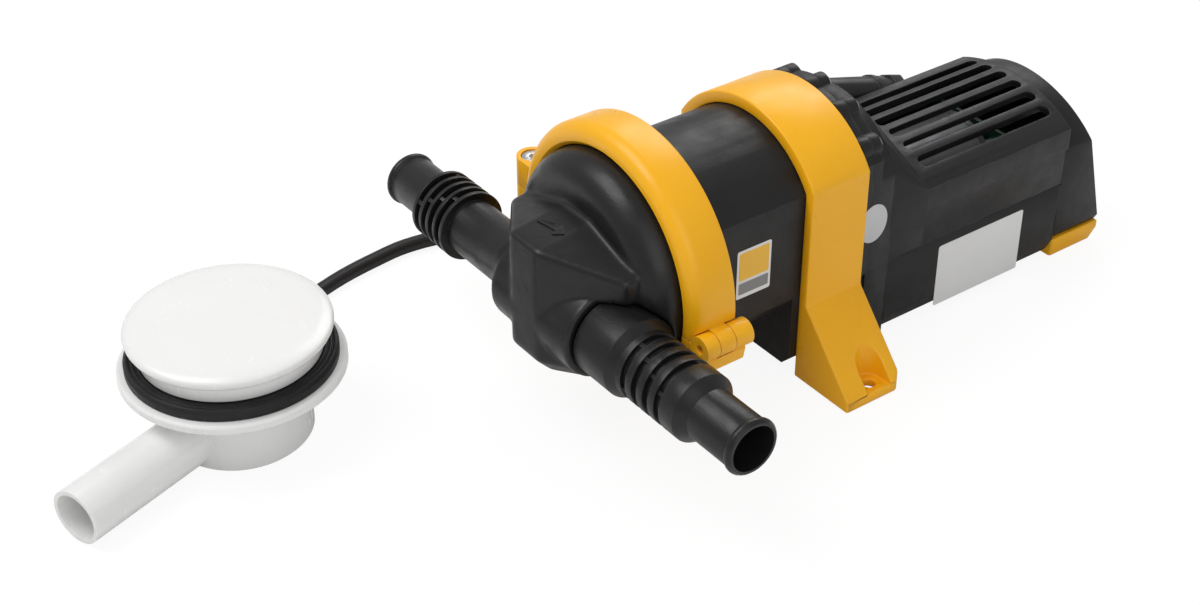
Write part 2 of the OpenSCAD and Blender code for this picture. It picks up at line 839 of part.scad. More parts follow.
module diaphragm() {
  color("#2b2b2d") turned_y(concat(
      [[diaphragm_hole_r, parting_y], [bead_in, parting_y],
          [bead_in, head_face - bead_groove_t + swivel_play],
          [bead_out, head_face - bead_groove_t + swivel_play],
          [bead_out, parting_y + diaphragm_t], [front_bore_r - seat, parting_y + diaphragm_t]],
      [for (i = [0:6]) [front_bore_r - roll_inset - i * roll_step,
          parting_y + diaphragm_t + roll_h * sin(i * 30)]],
      [[diaphragm_hole_r + roll_inset, parting_y + diaphragm_t],
          [diaphragm_hole_r, parting_y + diaphragm_t]]));
}

module diaphragm_plates() {
  hole_r = plate_screw_r + run;
  color("#b9bcc0") turned_y([[hole_r, plates_front], [plate_r - plate_bevel, plates_front],
      [plate_r, plates_front + plate_bevel], [plate_r, plates_back], [hole_r, plates_back]]);
}

module diaphragm_screw() {
  color("#8c8f94") difference() {
    turned_y([[0, plates_front - plate_screw_head], [2 * plate_screw_r, plates_front - plate_screw_head],
        [2 * plate_screw_r, plates_front], [plate_screw_r, plates_front],
        [plate_screw_r, plates_back + plate_screw_r], [0, plates_back + plate_screw_r]]);
    slab_y(plates_front - 2 * plate_screw_head, plates_front - plate_screw_head / 2)
        translate([0, axis_z]) circle(drive_r, $fn = 6);
  }
}

// Place of the crank pin along the pump when the model is at rest
pin_y = crank_y + throw;

module connecting_rod() {
  yoke_y = fork_y + throw;
  fork_x = eccentric_x + eccentric_w;
  color("#d8d4c8") difference() {
    union() {
      rod_y(stem_r, plates_back + seat / 2, yoke_y);
      block([-fork_x, yoke_y - fork_t, axis_z - stem_r], [fork_x, yoke_y, axis_z + stem_r]);
      both_sides() block([eccentric_x, yoke_y - fork_t, axis_z - stem_r],
          [fork_x, pin_y - eccentric_r, axis_z + stem_r]);
      both_sides() rod_x(big_end_r, eccentric_x, fork_x, pin_y, axis_z);
    }
    both_sides() rod_x(eccentric_r + run, eccentric_x - over, fork_x + over, pin_y, axis_z);
    rod_y(plate_screw_r + run, plates_back - over, plates_back + plate_screw_r + seat);
  }
}

module crankshaft() {
  shaft_end = cheek_x + cheek_t;
  color("#a9adb2") union() {
    rod_x(crank_r, -shaft_end, shaft_end, crank_y, axis_z);
    both_sides() rod_x(eccentric_r, eccentric_x + seat, eccentric_x + eccentric_w - seat, pin_y, axis_z);
  }
}

module worm_wheel() {
  root_r = wheel_r - tooth_depth;
  step = 360 / wheel_teeth;
  tooth_shares = [[0.04, 0], [0.34, 1], [0.56, 1], [0.86, 0]];
  teeth = [for (i = [0:wheel_teeth - 1], s = tooth_shares)
      let (r = s[1] == 1 ? wheel_r : root_r, a = (i + s[0]) * step) [r * cos(a), r * sin(a)]];
  color("#e8e2cf") translate([0, crank_y, axis_z]) difference() {
    rotate([90, 0, 90]) translate([0, 0, -wheel_w / 2]) linear_extrude(wheel_w) polygon(teeth);
    rotate([0, 90, 0]) translate([0, 0, -wheel_w]) cylinder(r = crank_r + seat / 2, h = 2 * wheel_w);
  }
}

module crank_bearings() {
  color("#b58b3c") both_sides() difference() {
    rod_x(bearing_r, cheek_x, cheek_x + bearing_w, crank_y, axis_z);
    rod_x(crank_r + run, cheek_x - over, cheek_x + bearing_w + over, crank_y, axis_z);
  }
}

// Worm with two starts: its section, a core with two lobes, is twisted along the motor's axis
module worm() {
  starts = 2;
  lead_turns = worm_l / (starts * 2 * PI * wheel_r / wheel_teeth);
  core_r = worm_r - tooth_depth + gear_play;
  lobe_angles = [-55, -30, 0, 30, 55, 90];
  section = [for (side = [0, 180], a = lobe_angles) let (r = abs(a) < 50 ? worm_r : core_r)
      [r * cos(side + a), r * sin(side + a)]];
  color("#c9a24a") difference() {
    translate([0, crank_y - worm_l / 2 + worm_inset, motor_z]) rotate([-90, 0, 0])
        linear_extrude(worm_l - 2 * worm_inset, twist = -360 * lead_turns, slices = thread_slices,
            $fn = thread_facets) polygon(section);
    rod_y(shaft_r + seat / 2, crank_y - worm_l, crank_y + worm_l, 0, motor_z);
  }
}

module motor_shaft() {
  color("#aeb2b8") rod_y(shaft_r, crank_y - worm_l / 2, bell_back - seat, 0, motor_z);
}

module armature() {
  color("#5c5f66") translate([0, armature_y + armature_l, motor_z]) rotate([90, 0, 0])
      linear_extrude(armature_l) difference() {
    circle(armature_r);
    for (i = [0:armature_slots - 1]) rotate(i * 360 / armature_slots + 90)
        translate([armature_r * armature_slot_share, -armature_slot_w / 2])
        square([armature_r, armature_slot_w]);
    circle(shaft_r + seat / 2);
  }
}

module armature_windings() {
  winding_r = armature_r - winding_inset;
  winding_in = shaft_r + winding_inset / 2;
  color("#b8652a") for (y = [armature_y - winding_l, armature_y + armature_l + seat / 2]) {
    turned_y([[winding_in, y], [winding_r - winding_round, y], [winding_r, y + winding_l / 2],
        [winding_r - winding_round, y + winding_l - seat / 2], [winding_in, y + winding_l - seat / 2]],
        motor_z);
  }
}

module commutator() {
  hole_r = shaft_r + seat / 2;
  color("#c07a3a") turned_y([[hole_r, commutator_y], [commutator_r, commutator_y],
      [commutator_r, commutator_y + commutator_l], [hole_r, commutator_y + commutator_l]], motor_z);
}

module motor_bushes() {
  color("#b58b3c") for (y = [can_front - bush_l, can_back]) {
    turned_y([[shaft_r + run, y], [bush_r, y], [bush_r, y + bell_t], [shaft_r + run, y + bell_t]], motor_z);
  }
}

// End bell of the motor, with the bore of its bush
module motor_bell(y0, y1) {
  turned_y([[bush_r + seat / 2, y0], [can_r, y0], [can_r, y1], [bush_r + seat / 2, y1]], motor_z);
}

module motor_front_bell() {
  color("#8b8e93") difference() {
    union() {
      motor_bell(can_front - bell_t, can_front);
      rod_y(bush_r + bush_wall, can_front - bush_l, can_front - bell_t + over, 0, motor_z);
    }
    rod_y(bush_r + seat / 2, can_front - bush_l - over, can_front + over, 0, motor_z);
    both_sides() rod_y(flange_screw_r + seat, can_front - bush_l, can_front - seat, plate_screw_x, motor_z);
  }
}

module motor_rear_bell() {
  color("#2a2a2c") motor_bell(can_back, bell_back);
}

module motor_can() {
  color("#6d7076") turned_y([[can_r - can_t, can_front], [can_r, can_front], [can_r, can_back],
      [can_r - can_t, can_back]], motor_z);
}

module motor_magnets() {
  magnet_in = can_r - can_t - seat - magnet_t;
  color("#3b3b3f") translate([0, armature_y + armature_l, motor_z]) rotate([90, 0, 0])
      linear_extrude(armature_l) intersection() {
    difference() {
      circle(can_r - can_t - seat / 2);
      circle(magnet_in);
    }
    for (a = [0, 180]) rotate(a) polygon([[0, 0], [can_r, -can_r * magnet_spread_share], [2 * can_r, 0],
        [can_r, can_r * magnet_spread_share]]);
  }
}

module brushes() {
  reach = can_r - can_t - 2 * seat;
  mid_y = commutator_y + commutator_l / 2;
  color("#8a6a3a") both_sides() block([commutator_r + seat, mid_y - brush_l / 2, motor_z - brush_w / 2],
      [reach, mid_y + brush_l / 2, motor_z + brush_w / 2]);
}

module gear_plate() {
  cheek_from = crank_y - cheek_half;
  color("#b4b7bb") difference() {
    union() {
      slab_y(plate_y, plate_y + plate_t) difference() {
        rear_shape(rear_r - wall - 2 * seat, cover_side - wall - 2 * seat, cover_bottom + wall + seat);
        translate([0, motor_z]) circle(bush_r + bush_wall + 2 * seat);
      }
      both_sides() block([cheek_x, crank_y, axis_z - cheek_half], [cheek_x + cheek_t, plate_y + over,
          axis_z + cheek_half]);
      both_sides() rod_x(cheek_half, cheek_x, cheek_x + cheek_t, crank_y, axis_z);
    }
    both_sides() rod_x(bearing_r + seat / 2, cheek_x - over, cheek_x + cheek_t + over, crank_y, axis_z);
    both_sides() rod_y(flange_screw_r + seat, plate_y - over, plate_back + over, plate_screw_x, motor_z);
    screw_holes();
  }
}

module plate_screws() {
  head_y = plate_y - flange_screw_head_t;
  color("#8c8f94") both_sides() {
    rod_y(flange_screw_r, head_y + seat, can_front - bell_t / 2, plate_screw_x, motor_z);
    rod_y(flange_screw_head_r, head_y, plate_y, plate_screw_x, motor_z);
  }
}

// Places its children at each lug over the barrel
module at_lugs() {
  for (i = [0:lug_count - 1]) {
    a = 90 - lug_spread + 2 * lug_spread * i / (lug_count - 1);
    translate([lug_circle_r * cos(a), 0, axis_z + lug_circle_r * sin(a)]) children();
  }
}

// Places its children at the two screws under the barrel, inside the gear housing
module at_inner_screws() {
  for (a = [270 - inner_screw_angle, 270 + inner_screw_angle]) {
    translate([lug_circle_r * cos(a), 0, axis_z + lug_circle_r * sin(a)]) children();
  }
}

// One half of the screwed flange, from y0 to y1, with its lugs
module lug_flange(y0, y1) {
  slab_y(y0, y1) barrel_shape(rear_flange_r, barrel_side + flange_out);
  intersection() {
    at_lugs() translate([0, y0, 0]) rotate([-90, 0, 0]) cylinder(r = lug_r, h = y1 - y0);
    block([-barrel_r, y0, 0], [barrel_r, y1, axis_z + 2 * barrel_r]);
  }
}

// Straight hole along the pump, from y0 to y1, for each child place
module bore_y(r, y0, y1) {
  translate([0, y0, 0]) rotate([-90, 0, 0]) cylinder(r = r, h = y1 - y0);
}

// Holes for all the flange screws
module screw_holes() {
  at_lugs() bore_y(flange_screw_r + seat, rear_flange_y - over, cover_y + rear_flange_t + over);
  at_inner_screws() bore_y(flange_screw_r + seat, rear_flange_y - over, plate_back + over);
}

module flange_screws() {
  lug_back = cover_y + rear_flange_t;
  color("#9a9da2") {
    at_lugs() {
      bore_y(flange_screw_r, rear_flange_y + over, lug_back + seat);
      bore_y(flange_screw_head_r, lug_back, lug_back + flange_screw_head_t);
    }
    at_inner_screws() {
      bore_y(flange_screw_r, rear_flange_y + over, plate_back + seat);
      bore_y(flange_screw_head_r, plate_back, plate_back + flange_screw_head_t);
    }
  }
}

module body_housing() {
  recess_r = bead_out + seat;
  round_l = 2;
  color("#1f1f21") difference() {
    union() {
      turned_y([[0, parting_y], [flange_r, parting_y], [flange_r, parting_y + flange_t],
          [barrel_r - wall, parting_y + flange_t], [barrel_r - wall, ring_back], [0, ring_back]]);
      turned_y([[0, parting_y + flange_t - slice_t], [barrel_r, parting_y + flange_t - slice_t],
          [barrel_r, ring_back + round_l], [0, ring_back + round_l]]);
      slab_y(ring_back, rear_flange_y + over) barrel_shape(barrel_r, barrel_side);
      slab_y(low_front, rear_flange_y + rear_flange_t) low_shape(0);
      lug_flange(rear_flange_y, rear_flange_y + rear_flange_t);
    }
    turned_y([[0, parting_y - over], [recess_r, parting_y - over], [recess_r, parting_y + diaphragm_t + seat],
        [front_bore_r, parting_y + diaphragm_t + seat], [front_bore_r, parting_y + front_bore_l],
        [0, parting_y + front_bore_l]]);
    slab_y(parting_y + front_bore_l - slice_t, cover_y + over)
        barrel_shape(barrel_r - wall, barrel_side - wall);
    slab_y(low_front + wall, cover_y + over) difference() {
      low_shape(wall);
      translate([0, axis_z]) circle(rear_flange_r);
    }
    screw_holes();
  }
}

module mount_saddle() {
  side_in = barrel_side + seat;
  side_out = barrel_side + saddle_t - bevel;
  pocket_z = foot_t - saddle_edge;
  band_r = barrel_r + saddle_t;
  band_a = acos(side_out / band_r);
  outline = concat([[foot_x, 0], [foot_x, foot_t], [side_out, flare_z]],
      arc(0, axis_z, band_r, band_a, 180 - band_a, band_steps),
      [[-side_out, flare_z], [-foot_x, foot_t], [-foot_x, 0]]);
  color("#f2ac12") difference() {
    slab_y(saddle_front, saddle_back) difference() {
      polygon(outline);
      rear_shape(barrel_r + seat, side_in, -over);
    }
    both_sides() {
      translate([screw_x, 0, -over]) cylinder(r = screw_hole_r, h = foot_t + 2 * over);
      translate([screw_x, 0, pocket_z]) cylinder(r = pocket_r, h = flare_z);
      block([screw_x, -pocket_r, pocket_z], [foot_x + over, pocket_r, flare_z]);
      translate([0, 0, -over]) linear_extrude(flare_z) polygon([[foot_x - foot_corner, saddle_back + over],
          [foot_x + over, saddle_back + over], [foot_x + over, saddle_back - foot_corner]]);
    }
  }
}

// The whole clamp ring, before it is split
module ring() {
  turned_y(concat([[ring_open_r, channel_front], [ring_open_r, ring_front + ring_edge],
      [ring_open_r + ring_edge, ring_front]],
      arc(ring_r - ring_round, ring_front + ring_round, ring_round, -90, 0),
      arc(ring_r - ring_edge, ring_back - ring_edge, ring_edge, 0, 90, 3),
      [[ring_back_r, ring_back], [ring_back_r, channel_back], [channel_r, channel_back],
          [channel_r, channel_front]]));
}

// Screw ear on the far side, from z0 to z1
module ear(z0, z1) {
  translate([-clamp_x, ear_y, z0]) cylinder(r = ear_w / 2, h = z1 - z0);
  block([-clamp_x, ear_y - ear_w / 2, z0], [-channel_r - ear_root, ear_y + ear_w / 2, z1]);
}

module clamp_upper() {
  ear_top = split_z + ear_t;
  color("#f2ac12") difference() {
    union() {
      intersection() {
        ring();
        union() {
          block([-ring_r - over, ring_front - over, split_z], [0, ring_back + over, axis_z + ring_r + over]);
          block([0, ring_front - over, hinge_z + split_gap / 2],
              [ring_r + over, ring_back + over, axis_z + ring_r + over]);
        }
      }
      ear(split_z, ear_top);
      rod_y(knuckle_r, ear_y - knuckle_w / 2, ear_y + knuckle_w / 2, hinge_x, hinge_z);
      block([ring_r - knuckle_root, ear_y - knuckle_w / 2, hinge_z + split_gap / 2],
          [hinge_x, ear_y + knuckle_w / 2, hinge_z + knuckle_r]);
    }
    rod_y(hinge_pin_r + run, ring_front, ring_back, hinge_x, hinge_z);
    rod_y(knuckle_r + clear, ring_front - over, ear_y - knuckle_w / 2, hinge_x, hinge_z);
    rod_y(knuckle_r + clear, ear_y + knuckle_w / 2, ring_back + over, hinge_x, hinge_z);
    translate([-clamp_x, ear_y, split_z - over]) cylinder(r = clamp_screw_r + seat, h = ear_t + 2 * over);
    translate([-clamp_x, ear_y, ear_top - clamp_head_t]) cylinder(r = clamp_head_r + clear, h = ear_t);
  }
}

module clamp_lower() {
  ear_top = split_z - split_gap;
  wedge_low = axis_z - ring_r * wedge_drop_share;
  color("#f2ac12") difference() {
    union() {
      intersection() {
        ring();
        union() {
          block([-ring_r - over, ring_front - over, axis_z - ring_r - over], [0, ring_back + over, ear_top]);
          block([0, ring_front - over, axis_z - ring_r - over],
              [ring_r + over, ring_back + over, hinge_z - split_gap / 2]);
        }
      }
      ear(ear_top - ear_t, ear_top);
      slab_y(ring_front + seat, ring_back - seat) polygon([[channel_r + ear_root, hinge_z - split_gap / 2],
          [hinge_x, hinge_z - split_gap / 2], [hinge_x + knuckle_r * wedge_shares[0], hinge_z - knuckle_r],
          [hinge_x + knuckle_r * wedge_shares[1], hinge_z - 2 * knuckle_r], [ring_r, wedge_low],
          [ring_r - saddle_t, wedge_low]]);
      rod_y(knuckle_r, ring_front + seat, ear_y - knuckle_w / 2 - clear, hinge_x, hinge_z);
      rod_y(knuckle_r, ear_y + knuckle_w / 2 + clear, ring_back + knuckle_out, hinge_x, hinge_z);
    }
    rod_y(hinge_pin_r + seat / 2, ring_front - over, ring_back + knuckle_out + over, hinge_x, hinge_z);
    rod_y(knuckle_r + clear, ear_y - knuckle_w / 2 - clear, ear_y + knuckle_w / 2 + clear, hinge_x, hinge_z);
    translate([-clamp_x, ear_y, ear_top - ear_t - over])
        cylinder(r = clamp_screw_r + clamp_room, h = ear_t + 2 * over);
  }
}

module clamp_hinge_pin() {
  color("#c4c7cb") rod_y(hinge_pin_r, ring_front + pin_inset, ring_back + ring_edge, hinge_x, hinge_z);
}

module clamp_screw() {
  head_z = split_z + ear_t - clamp_head_t;
  color("#c4c7cb") translate([-clamp_x, ear_y, 0]) difference() {
    union() {
      translate([0, 0, head_z - clamp_screw_l + clamp_head_t])
          cylinder(r = clamp_screw_r, h = clamp_screw_l - clamp_head_t);
      translate([0, 0, head_z]) cylinder(r = clamp_head_r, h = clamp_head_t - clear);
    }
    translate([0, 0, head_z + clamp_head_t / 2]) cylinder(r = drive_r, h = clamp_head_t, $fn = 6);
  }
}

module gear_cover() {
  color("#1b1b1d") difference() {
    union() {
      lug_flange(cover_y, cover_y + rear_flange_t);
      slab_y(cover_y, cover_front - seat) rear_shape(rear_r, cover_side, cover_bottom);
    }
    slab_y(cover_y - over, cover_y + wall + over)
        barrel_shape(rear_r - wall - plate_seat, cover_side - wall - plate_seat);
    slab_y(cover_y + wall, cover_front + over)
        rear_shape(rear_r - wall, cover_side - wall, cover_bottom + wall);
    screw_holes();
  }
}

// Section of the upper motor cover, drawn in by inset and reaching down to low
module upper_shape(inset, low) {
  intersection() {
    translate([0, crown_z]) circle(crown_r - inset);
    translate([inset - hood_far, hood_low + inset])
        square([hood_far + hood_near - 2 * inset, hood_top - hood_low]);
  }
  translate([inset - hood_far, low]) square([hood_far + cover_side - 2 * inset, hood_low + 2 * inset - low]);
  translate([inset - cover_side, low]) square([cover_side, shelf_z - inset - low]);
}

// Ramp between the gear housing's round section and the hood
module ramp(inset, y0, y1) {
  hull() {
    slab_y(y0, y0 + slice_t) intersection() {
      rear_shape(rear_r - inset, cover_side - inset, seam_z, $fn = ramp_facets);
      translate([-rear_r, seam_z]) square([2 * rear_r, 2 * rear_r]);
    }
    slab_y(y1 - slice_t, y1) upper_shape(inset, seam_z, $fn = ramp_facets);
  }
}

// Frame of the cable gland: its seat at the origin, its axis along +Y
module at_gland() {
  translate([gland_x, gland_y, gland_z]) rotate([-gland_pitch, 0, 0]) children();
}

// Cooling slot with round ends, cut down through the hood
module cooling_slot(x) {
  block([x - slot_w / 2, slot_y0 + slot_w / 2, hood_low + wall], [x + slot_w / 2, slot_y1 - slot_w / 2,
      hood_top + over]);
  for (y = [slot_y0 + slot_w / 2, slot_y1 - slot_w / 2]) {
    translate([x, y, hood_low + wall]) cylinder(r = slot_w / 2, h = hood_top - hood_low);
  }
}

module motor_cover_upper() {
  color("#19191b") difference() {
    union() {
      ramp(0, cover_front, hood_front);
      slab_y(hood_front - slice_t, cover_back) upper_shape(0, seam_z);
      at_gland() rotate([-90, 0, 0]) translate([0, 0, -boss_l]) cylinder(r = gland_r + boss_wall, h = boss_l);
    }
    ramp(cover_wall, cover_front - over, hood_front);
    rod_y(can_r + clear, cover_front - over, bell_back + clear, 0, motor_z);
    slab_y(hood_front - over, cover_back + over) upper_shape(cover_wall, seam_z - over);
    slab_y(cover_front - over, cover_front) square(4 * rear_r, center = true);
    block([-cover_side - over, cover_front - over, 0], [cover_side + 2 * over, cover_back, seam_z]);
    at_gland() rotate([-90, 0, 0]) translate([0, 0, -2 * boss_l])
        cylinder(r = lead_r + boss_wall, h = 3 * boss_l);
    for (i = [0:slot_count - 1]) cooling_slot(hood_mid + (i - (slot_count - 1) / 2) * slot_pitch);
  }
}

// Section of the lower motor cover, drawn in by inset
module lower_shape(inset, top) {
  side = cover_side - inset;
  low = cover_bottom + inset;
  polygon([[-side, top], [-side, low + cover_chamfer], [-side + cover_chamfer / 2, low],
      [side - cover_chamfer / 2, low], [side, low + cover_chamfer], [side, top]]);
}

module motor_cover_lower() {
  top = seam_z - seat;
  color("#1b1b1d") slab_y(cover_front, cover_back) difference() {
    lower_shape(0, top);
    lower_shape(cover_wall, top + over);
  }
}

// Solid form of the end cap, drawn in by inset, from y0
module cap_form(inset, y0) {
  rise = axis_z + 2 * barrel_r - cap_bottom;
  slope = (cap_back_low - cap_back_high) / (arch_z + cap_arch_r - cap_bottom);
  intersection() {
    slab_y(y0, cap_back_low) intersection() {
      translate([0, arch_z]) circle(cap_arch_r - inset);
      translate([inset - cover_side, cap_bottom + inset]) square([2 * (cover_side - inset), rise]);
    }
    slab_x(-cap_arch_r, cap_arch_r) polygon([[y0, cap_bottom], [cap_back_low - inset, cap_bottom],
        [cap_back_low - inset - rise * slope, cap_bottom + rise], [y0, cap_bottom + rise]]);
  }
}

module end_cap() {
  color("#151517") difference() {
    cap_form(0, cover_back + seat);
    cap_form(wall, cover_back - over);
  }
}

module rear_foot() {
  top = cap_bottom - seat;
  y0 = cover_back + seat;
  color("#f2ac12") union() {
    slab_x(seat - cover_side, cover_side - seat) polygon([[y0, 0],
        [cap_back_low - cap_bottom * foot_cut_share, 0],
        [cap_back_low - seat, top / 2], [cap_back_low - seat, top], [y0, top]]);
    block([-cover_side / 2, y0 - foot_tongue, 0], [cover_side / 2, y0 + over, cover_bottom - seat]);
  }
}

module control_board() {
  post_x = can_r * post_share;
  face_y = board_y + board_t;
  color("#1f6b3a") {
    slab_y(board_y, face_y) polygon([[-board_half, board_low], [board_half, board_low],
        [board_half, board_high], [board_notch_x, board_high], [board_notch_x, board_notch_z],
        [-board_half, board_notch_z]]);
    for (x = [-post_x, post_x], dz = [-post_x, post_x]) {
      rod_y(flange_screw_head_r, bell_back + seat / 2, board_y + slice_t, x, motor_z + dz);
    }
    for (share = relay_shares) translate([board_half * share, face_y, motor_z]) {
      block([0, -slice_t, 0], [relay_w, relay_t, relay_h]);
    }
    rod_y(capacitor_r, face_y - slice_t, face_y + capacitor_l, board_half / 2, motor_z - capacitor_drop);
  }
}

module cable_gland() {
  color("#161618") at_gland() rotate([-90, 0, 0]) difference() {
    union() {
      translate([0, 0, seat / 2]) cylinder(r = gland_r, h = gland_l);
      translate([0, 0, gland_l * gland_band_place_share])
          cylinder(r = gland_r + gland_band, h = gland_l * gland_band_share);
    }
    translate([0, 0, -over]) cylinder(r = lead_r + clear, h = gland_l + 2 * over);
  }
}

module gland_nut() {
  color("#161618") at_gland() rotate([-90, 0, 0]) translate([0, 0, gland_l + seat]) difference() {
    union() {
      cylinder(r = gland_r - nut_neck, h = gland_nut_l);
      translate([0, 0, gland_nut_l * nut_place_share])
          cylinder(r = gland_nut_r, h = gland_nut_l * nut_share, $fn = nut_sides);
    }
    translate([0, 0, -over]) cylinder(r = lead_r + clear, h = gland_nut_l + 2 * over);
  }
}

// Unit vector
function unit(v) = v / norm(v);

// Point on a smooth curve through the points p at segment i, share s along it
function smooth_point(p, i, s) = let (n = len(p) - 1, a = p[max(i - 1, 0)], b = p[i], c = p[min(i + 1, n)],
    d = p[min(i + 2, n)])
    0.5 * (2 * b + (c - a) * s + (2 * a - 5 * b + 4 * c - d) * s * s + (3 * b - a - 3 * c + d) * s * s * s);

// Points of a smooth curve through a hand-drawn route
function smooth_route(p) = concat([for (i = [0:len(p) - 2], k = [0:route_steps - 1])
    smooth_point(p, i, k / route_steps)], [p[len(p) - 1]]);

// Tube of radius r swept along points; side_way is a direction that no part of the route follows
module tube(points, r, sides, side_way) {
  n = len(points);
  rings = [for (i = [0:n - 1])
      let (t = unit(points[min(i + 1, n - 1)] - points[max(i - 1, 0)]), u = unit(cross(t, side_way)),
          v = cross(t, u)) each
      [for (k = [0:sides - 1]) points[i] + r * (u * cos(360 * k / sides) + v * sin(360 * k / sides))]];
  walls = [for (i = [0:n - 2], k = [0:sides - 1]) let (a = i * sides + k, b = i * sides + (k + 1) % sides)
      each [[a, b, b + sides], [a, b + sides, a + sides]]];
  ends = [[for (k = [sides - 1:-1:0]) k], [for (k = [0:sides - 1]) (n - 1) * sides + k]];
  polyhedron(rings, concat(walls, ends));
}

// Point of the coiled lead after t turns: two layers, in and out again
function coil_point(t) = let (half = coil_total / 2, r = coil_r - coil_pitch * (half - abs(t - half)),
    climb = min(max((t - half) * 2 + 0.5, 0), 1), a = coil_start + 360 * t)
    [coil_x + r * cos(a), coil_y + r * sin(a), lead_z + coil_rise * climb * climb * (3 - 2 * climb)];

// Direction of the coil's turn at an angle
function coil_way(a) = [-sin(a), cos(a), 0];

coil_steps = round(coil_total * coil_rings);
coil_points = concat([coil_point(0) - lead_d * coil_way(coil_start)],
    [for (i = [0:coil_steps]) coil_point(coil_total * i / coil_steps)],
    [coil_point(coil_total) + lead_d * coil_way(coil_start + 360 * coil_total)]);
coil_gap = min([for (i = [0:len(coil_points) - 8], j = [i + 7:len(coil_points) - 1])
    norm(coil_points[i] - coil_points[j])]) - lead_d;

module lead_pump_stretch() {
  color("#141414") tube(smooth_route(pump_route), lead_r, lead_sides, [1, 0, 0]);
}

module lead_coil() {
  echo("Least gap of the coil to itself", coil_gap);
  color("#141414") tube(coil_points, lead_r, coil_sides, [0, 0, 1]);
}

module lead_drain_stretch() {
  color("#141414") tube(smooth_route(drain_route), lead_r, lead_sides, [0, 0, 1]);
}

// Frame of the drain: its middle at the origin
module at_drain() {
  translate([drain_x, drain_y, 0]) children();
}

// Frame of the lead's entry into the drain, pointing out of the pot along +X
module at_drain_gland() {
  at_drain() rotate([0, 0, drain_gland_turn]) translate([0, 0, drain_gland_z]) rotate([0, 90, 0]) children();
}

module drain_body() {
  flange_low = drain_top - drain_flange_t;
  color("#f4f4f2") difference() {
    union() {
      at_drain() rotate_extrude() polygon([[0, 0], [pot_r - pot_edge, 0], [pot_r, pot_edge],
          [pot_r, flange_low],
          [drain_flange_r - bevel, flange_low], [drain_flange_r, flange_low + bevel],
          [drain_flange_r, drain_top - bevel], [drain_flange_r - bevel, drain_top],
          [0, drain_top]]);
      at_drain() rotate([0, 0, spout_turn]) translate([0, 0, spout_z]) rotate([0, 90, 0])
          cylinder(r = spout_r, h = spout_reach);
    }
    difference() {
      at_drain() translate([0, 0, drain_floor]) cylinder(r = pot_in, h = drain_top);
      at_drain() cylinder(r = column_r, h = column_h);
    }
    at_drain() translate([0, 0, column_h * column_bore_share])
        cylinder(r = drain_screw_r + run, h = column_h);
    at_drain() rotate([0, 0, spout_turn]) translate([column_r + spout_inset, 0, spout_z]) rotate([0, 90, 0])
        cylinder(r = spout_bore_r, h = spout_reach);
    at_drain_gland() translate([0, 0, pot_in - gland_reach]) cylinder(r = lead_r + clear, h = pot_r);
  }
}

module drain_gland() {
  gland_end = pot_r + drain_gland_l;
  color("#f4f4f2") difference() {
    at_drain_gland() difference() {
      union() {
        translate([0, 0, pot_in]) cylinder(r = drain_gland_r, h = pot_wall + drain_gland_l * seat_share);
        translate([0, 0, pot_r + drain_gland_l * hex_place_share])
            cylinder(r = drain_gland_r + drain_gland_step, h = drain_gland_l * hex_share, $fn = nut_sides);
        translate([0, 0, pot_r]) cylinder(r = drain_gland_r - drain_gland_step, h = drain_gland_l);
      }
      translate([0, 0, pot_r - 2 * pot_wall]) cylinder(r = lead_r + clear / 2, h = gland_end);
    }
    at_drain() cylinder(r = pot_r + seat / 2, h = drain_top);
  }
}

module drain_sensor() {
  probe_in = pot_in - probe_l;
  color("#3a3a3c") union() {
    intersection() {
      at_drain_gland() translate([0, 0, probe_in]) cylinder(r = lead_r + probe_wall, h = pot_r - probe_in);
      at_drain() cylinder(r = pot_in - seat, h = drain_top);
    }
    for (dz = [-pin_half, pin_half]) {
      at_drain_gland() translate([dz, 0, probe_in - pin_l]) cylinder(r = pin_r, h = pin_l + seat);
    }
  }
}

module drain_gasket() {
  ring_step = (gasket_r - strainer_r) / gasket_rings;
  groove_z = strainer_z - gasket_groove;
  bump_z = groove_z + gasket_bump;
  hole_r = pot_in + gasket_lip;
  bumps = [for (i = [0:gasket_rings - 1]) let (r = gasket_r - gasket_edge - i * ring_step) each
      [[r, groove_z], [r - ring_step * bump_shares[0], bump_z], [r - ring_step * bump_shares[1], bump_z],
          [r - ring_step, groove_z]]];
  color("#161616") at_drain() rotate_extrude() polygon(concat([[hole_r, drain_top + seat],
      [gasket_r, drain_top + seat], [gasket_r, strainer_z - gasket_edge_t]], bumps,
      [[strainer_r - gasket_edge_t, strainer_z], [hole_r, strainer_z]]));
}

module drain_strainer() {
  rim_low = strainer_z + seat;
  rim_top = strainer_z + strainer_h;
  cup_low = strainer_z - strainer_drop;
  wall_in = strainer_r - strainer_wall;
  color("#f4f4f2") at_drain() difference() {
    rotate_extrude() polygon([[drain_screw_r + seat, cup_low], [strainer_basket_r, cup_low],
        [strainer_basket_r, rim_low], [strainer_r, rim_low], [strainer_r, rim_top], [wall_in, rim_top],
        [wall_in, rim_low + strainer_wall], [strainer_basket_r - strainer_wall, rim_low + strainer_wall],
        [strainer_basket_r - strainer_wall, cup_low + strainer_wall],
        [drain_screw_r + seat, cup_low + strainer_wall]]);
    for (i = [0:strainer_holes - 1]) rotate([0, 0, i * 360 / strainer_holes]) {
      translate([strainer_basket_r * hole_ring_shares[0], 0, cup_low - over])
          cylinder(r = strainer_hole_r, h = strainer_wall + 2 * over);
      if (i % 2 == 0) {
        translate([strainer_basket_r * hole_ring_shares[1], 0, cup_low - over])
            cylinder(r = strainer_hole_r, h = strainer_wall + 2 * over);
      }
    }
  }
}

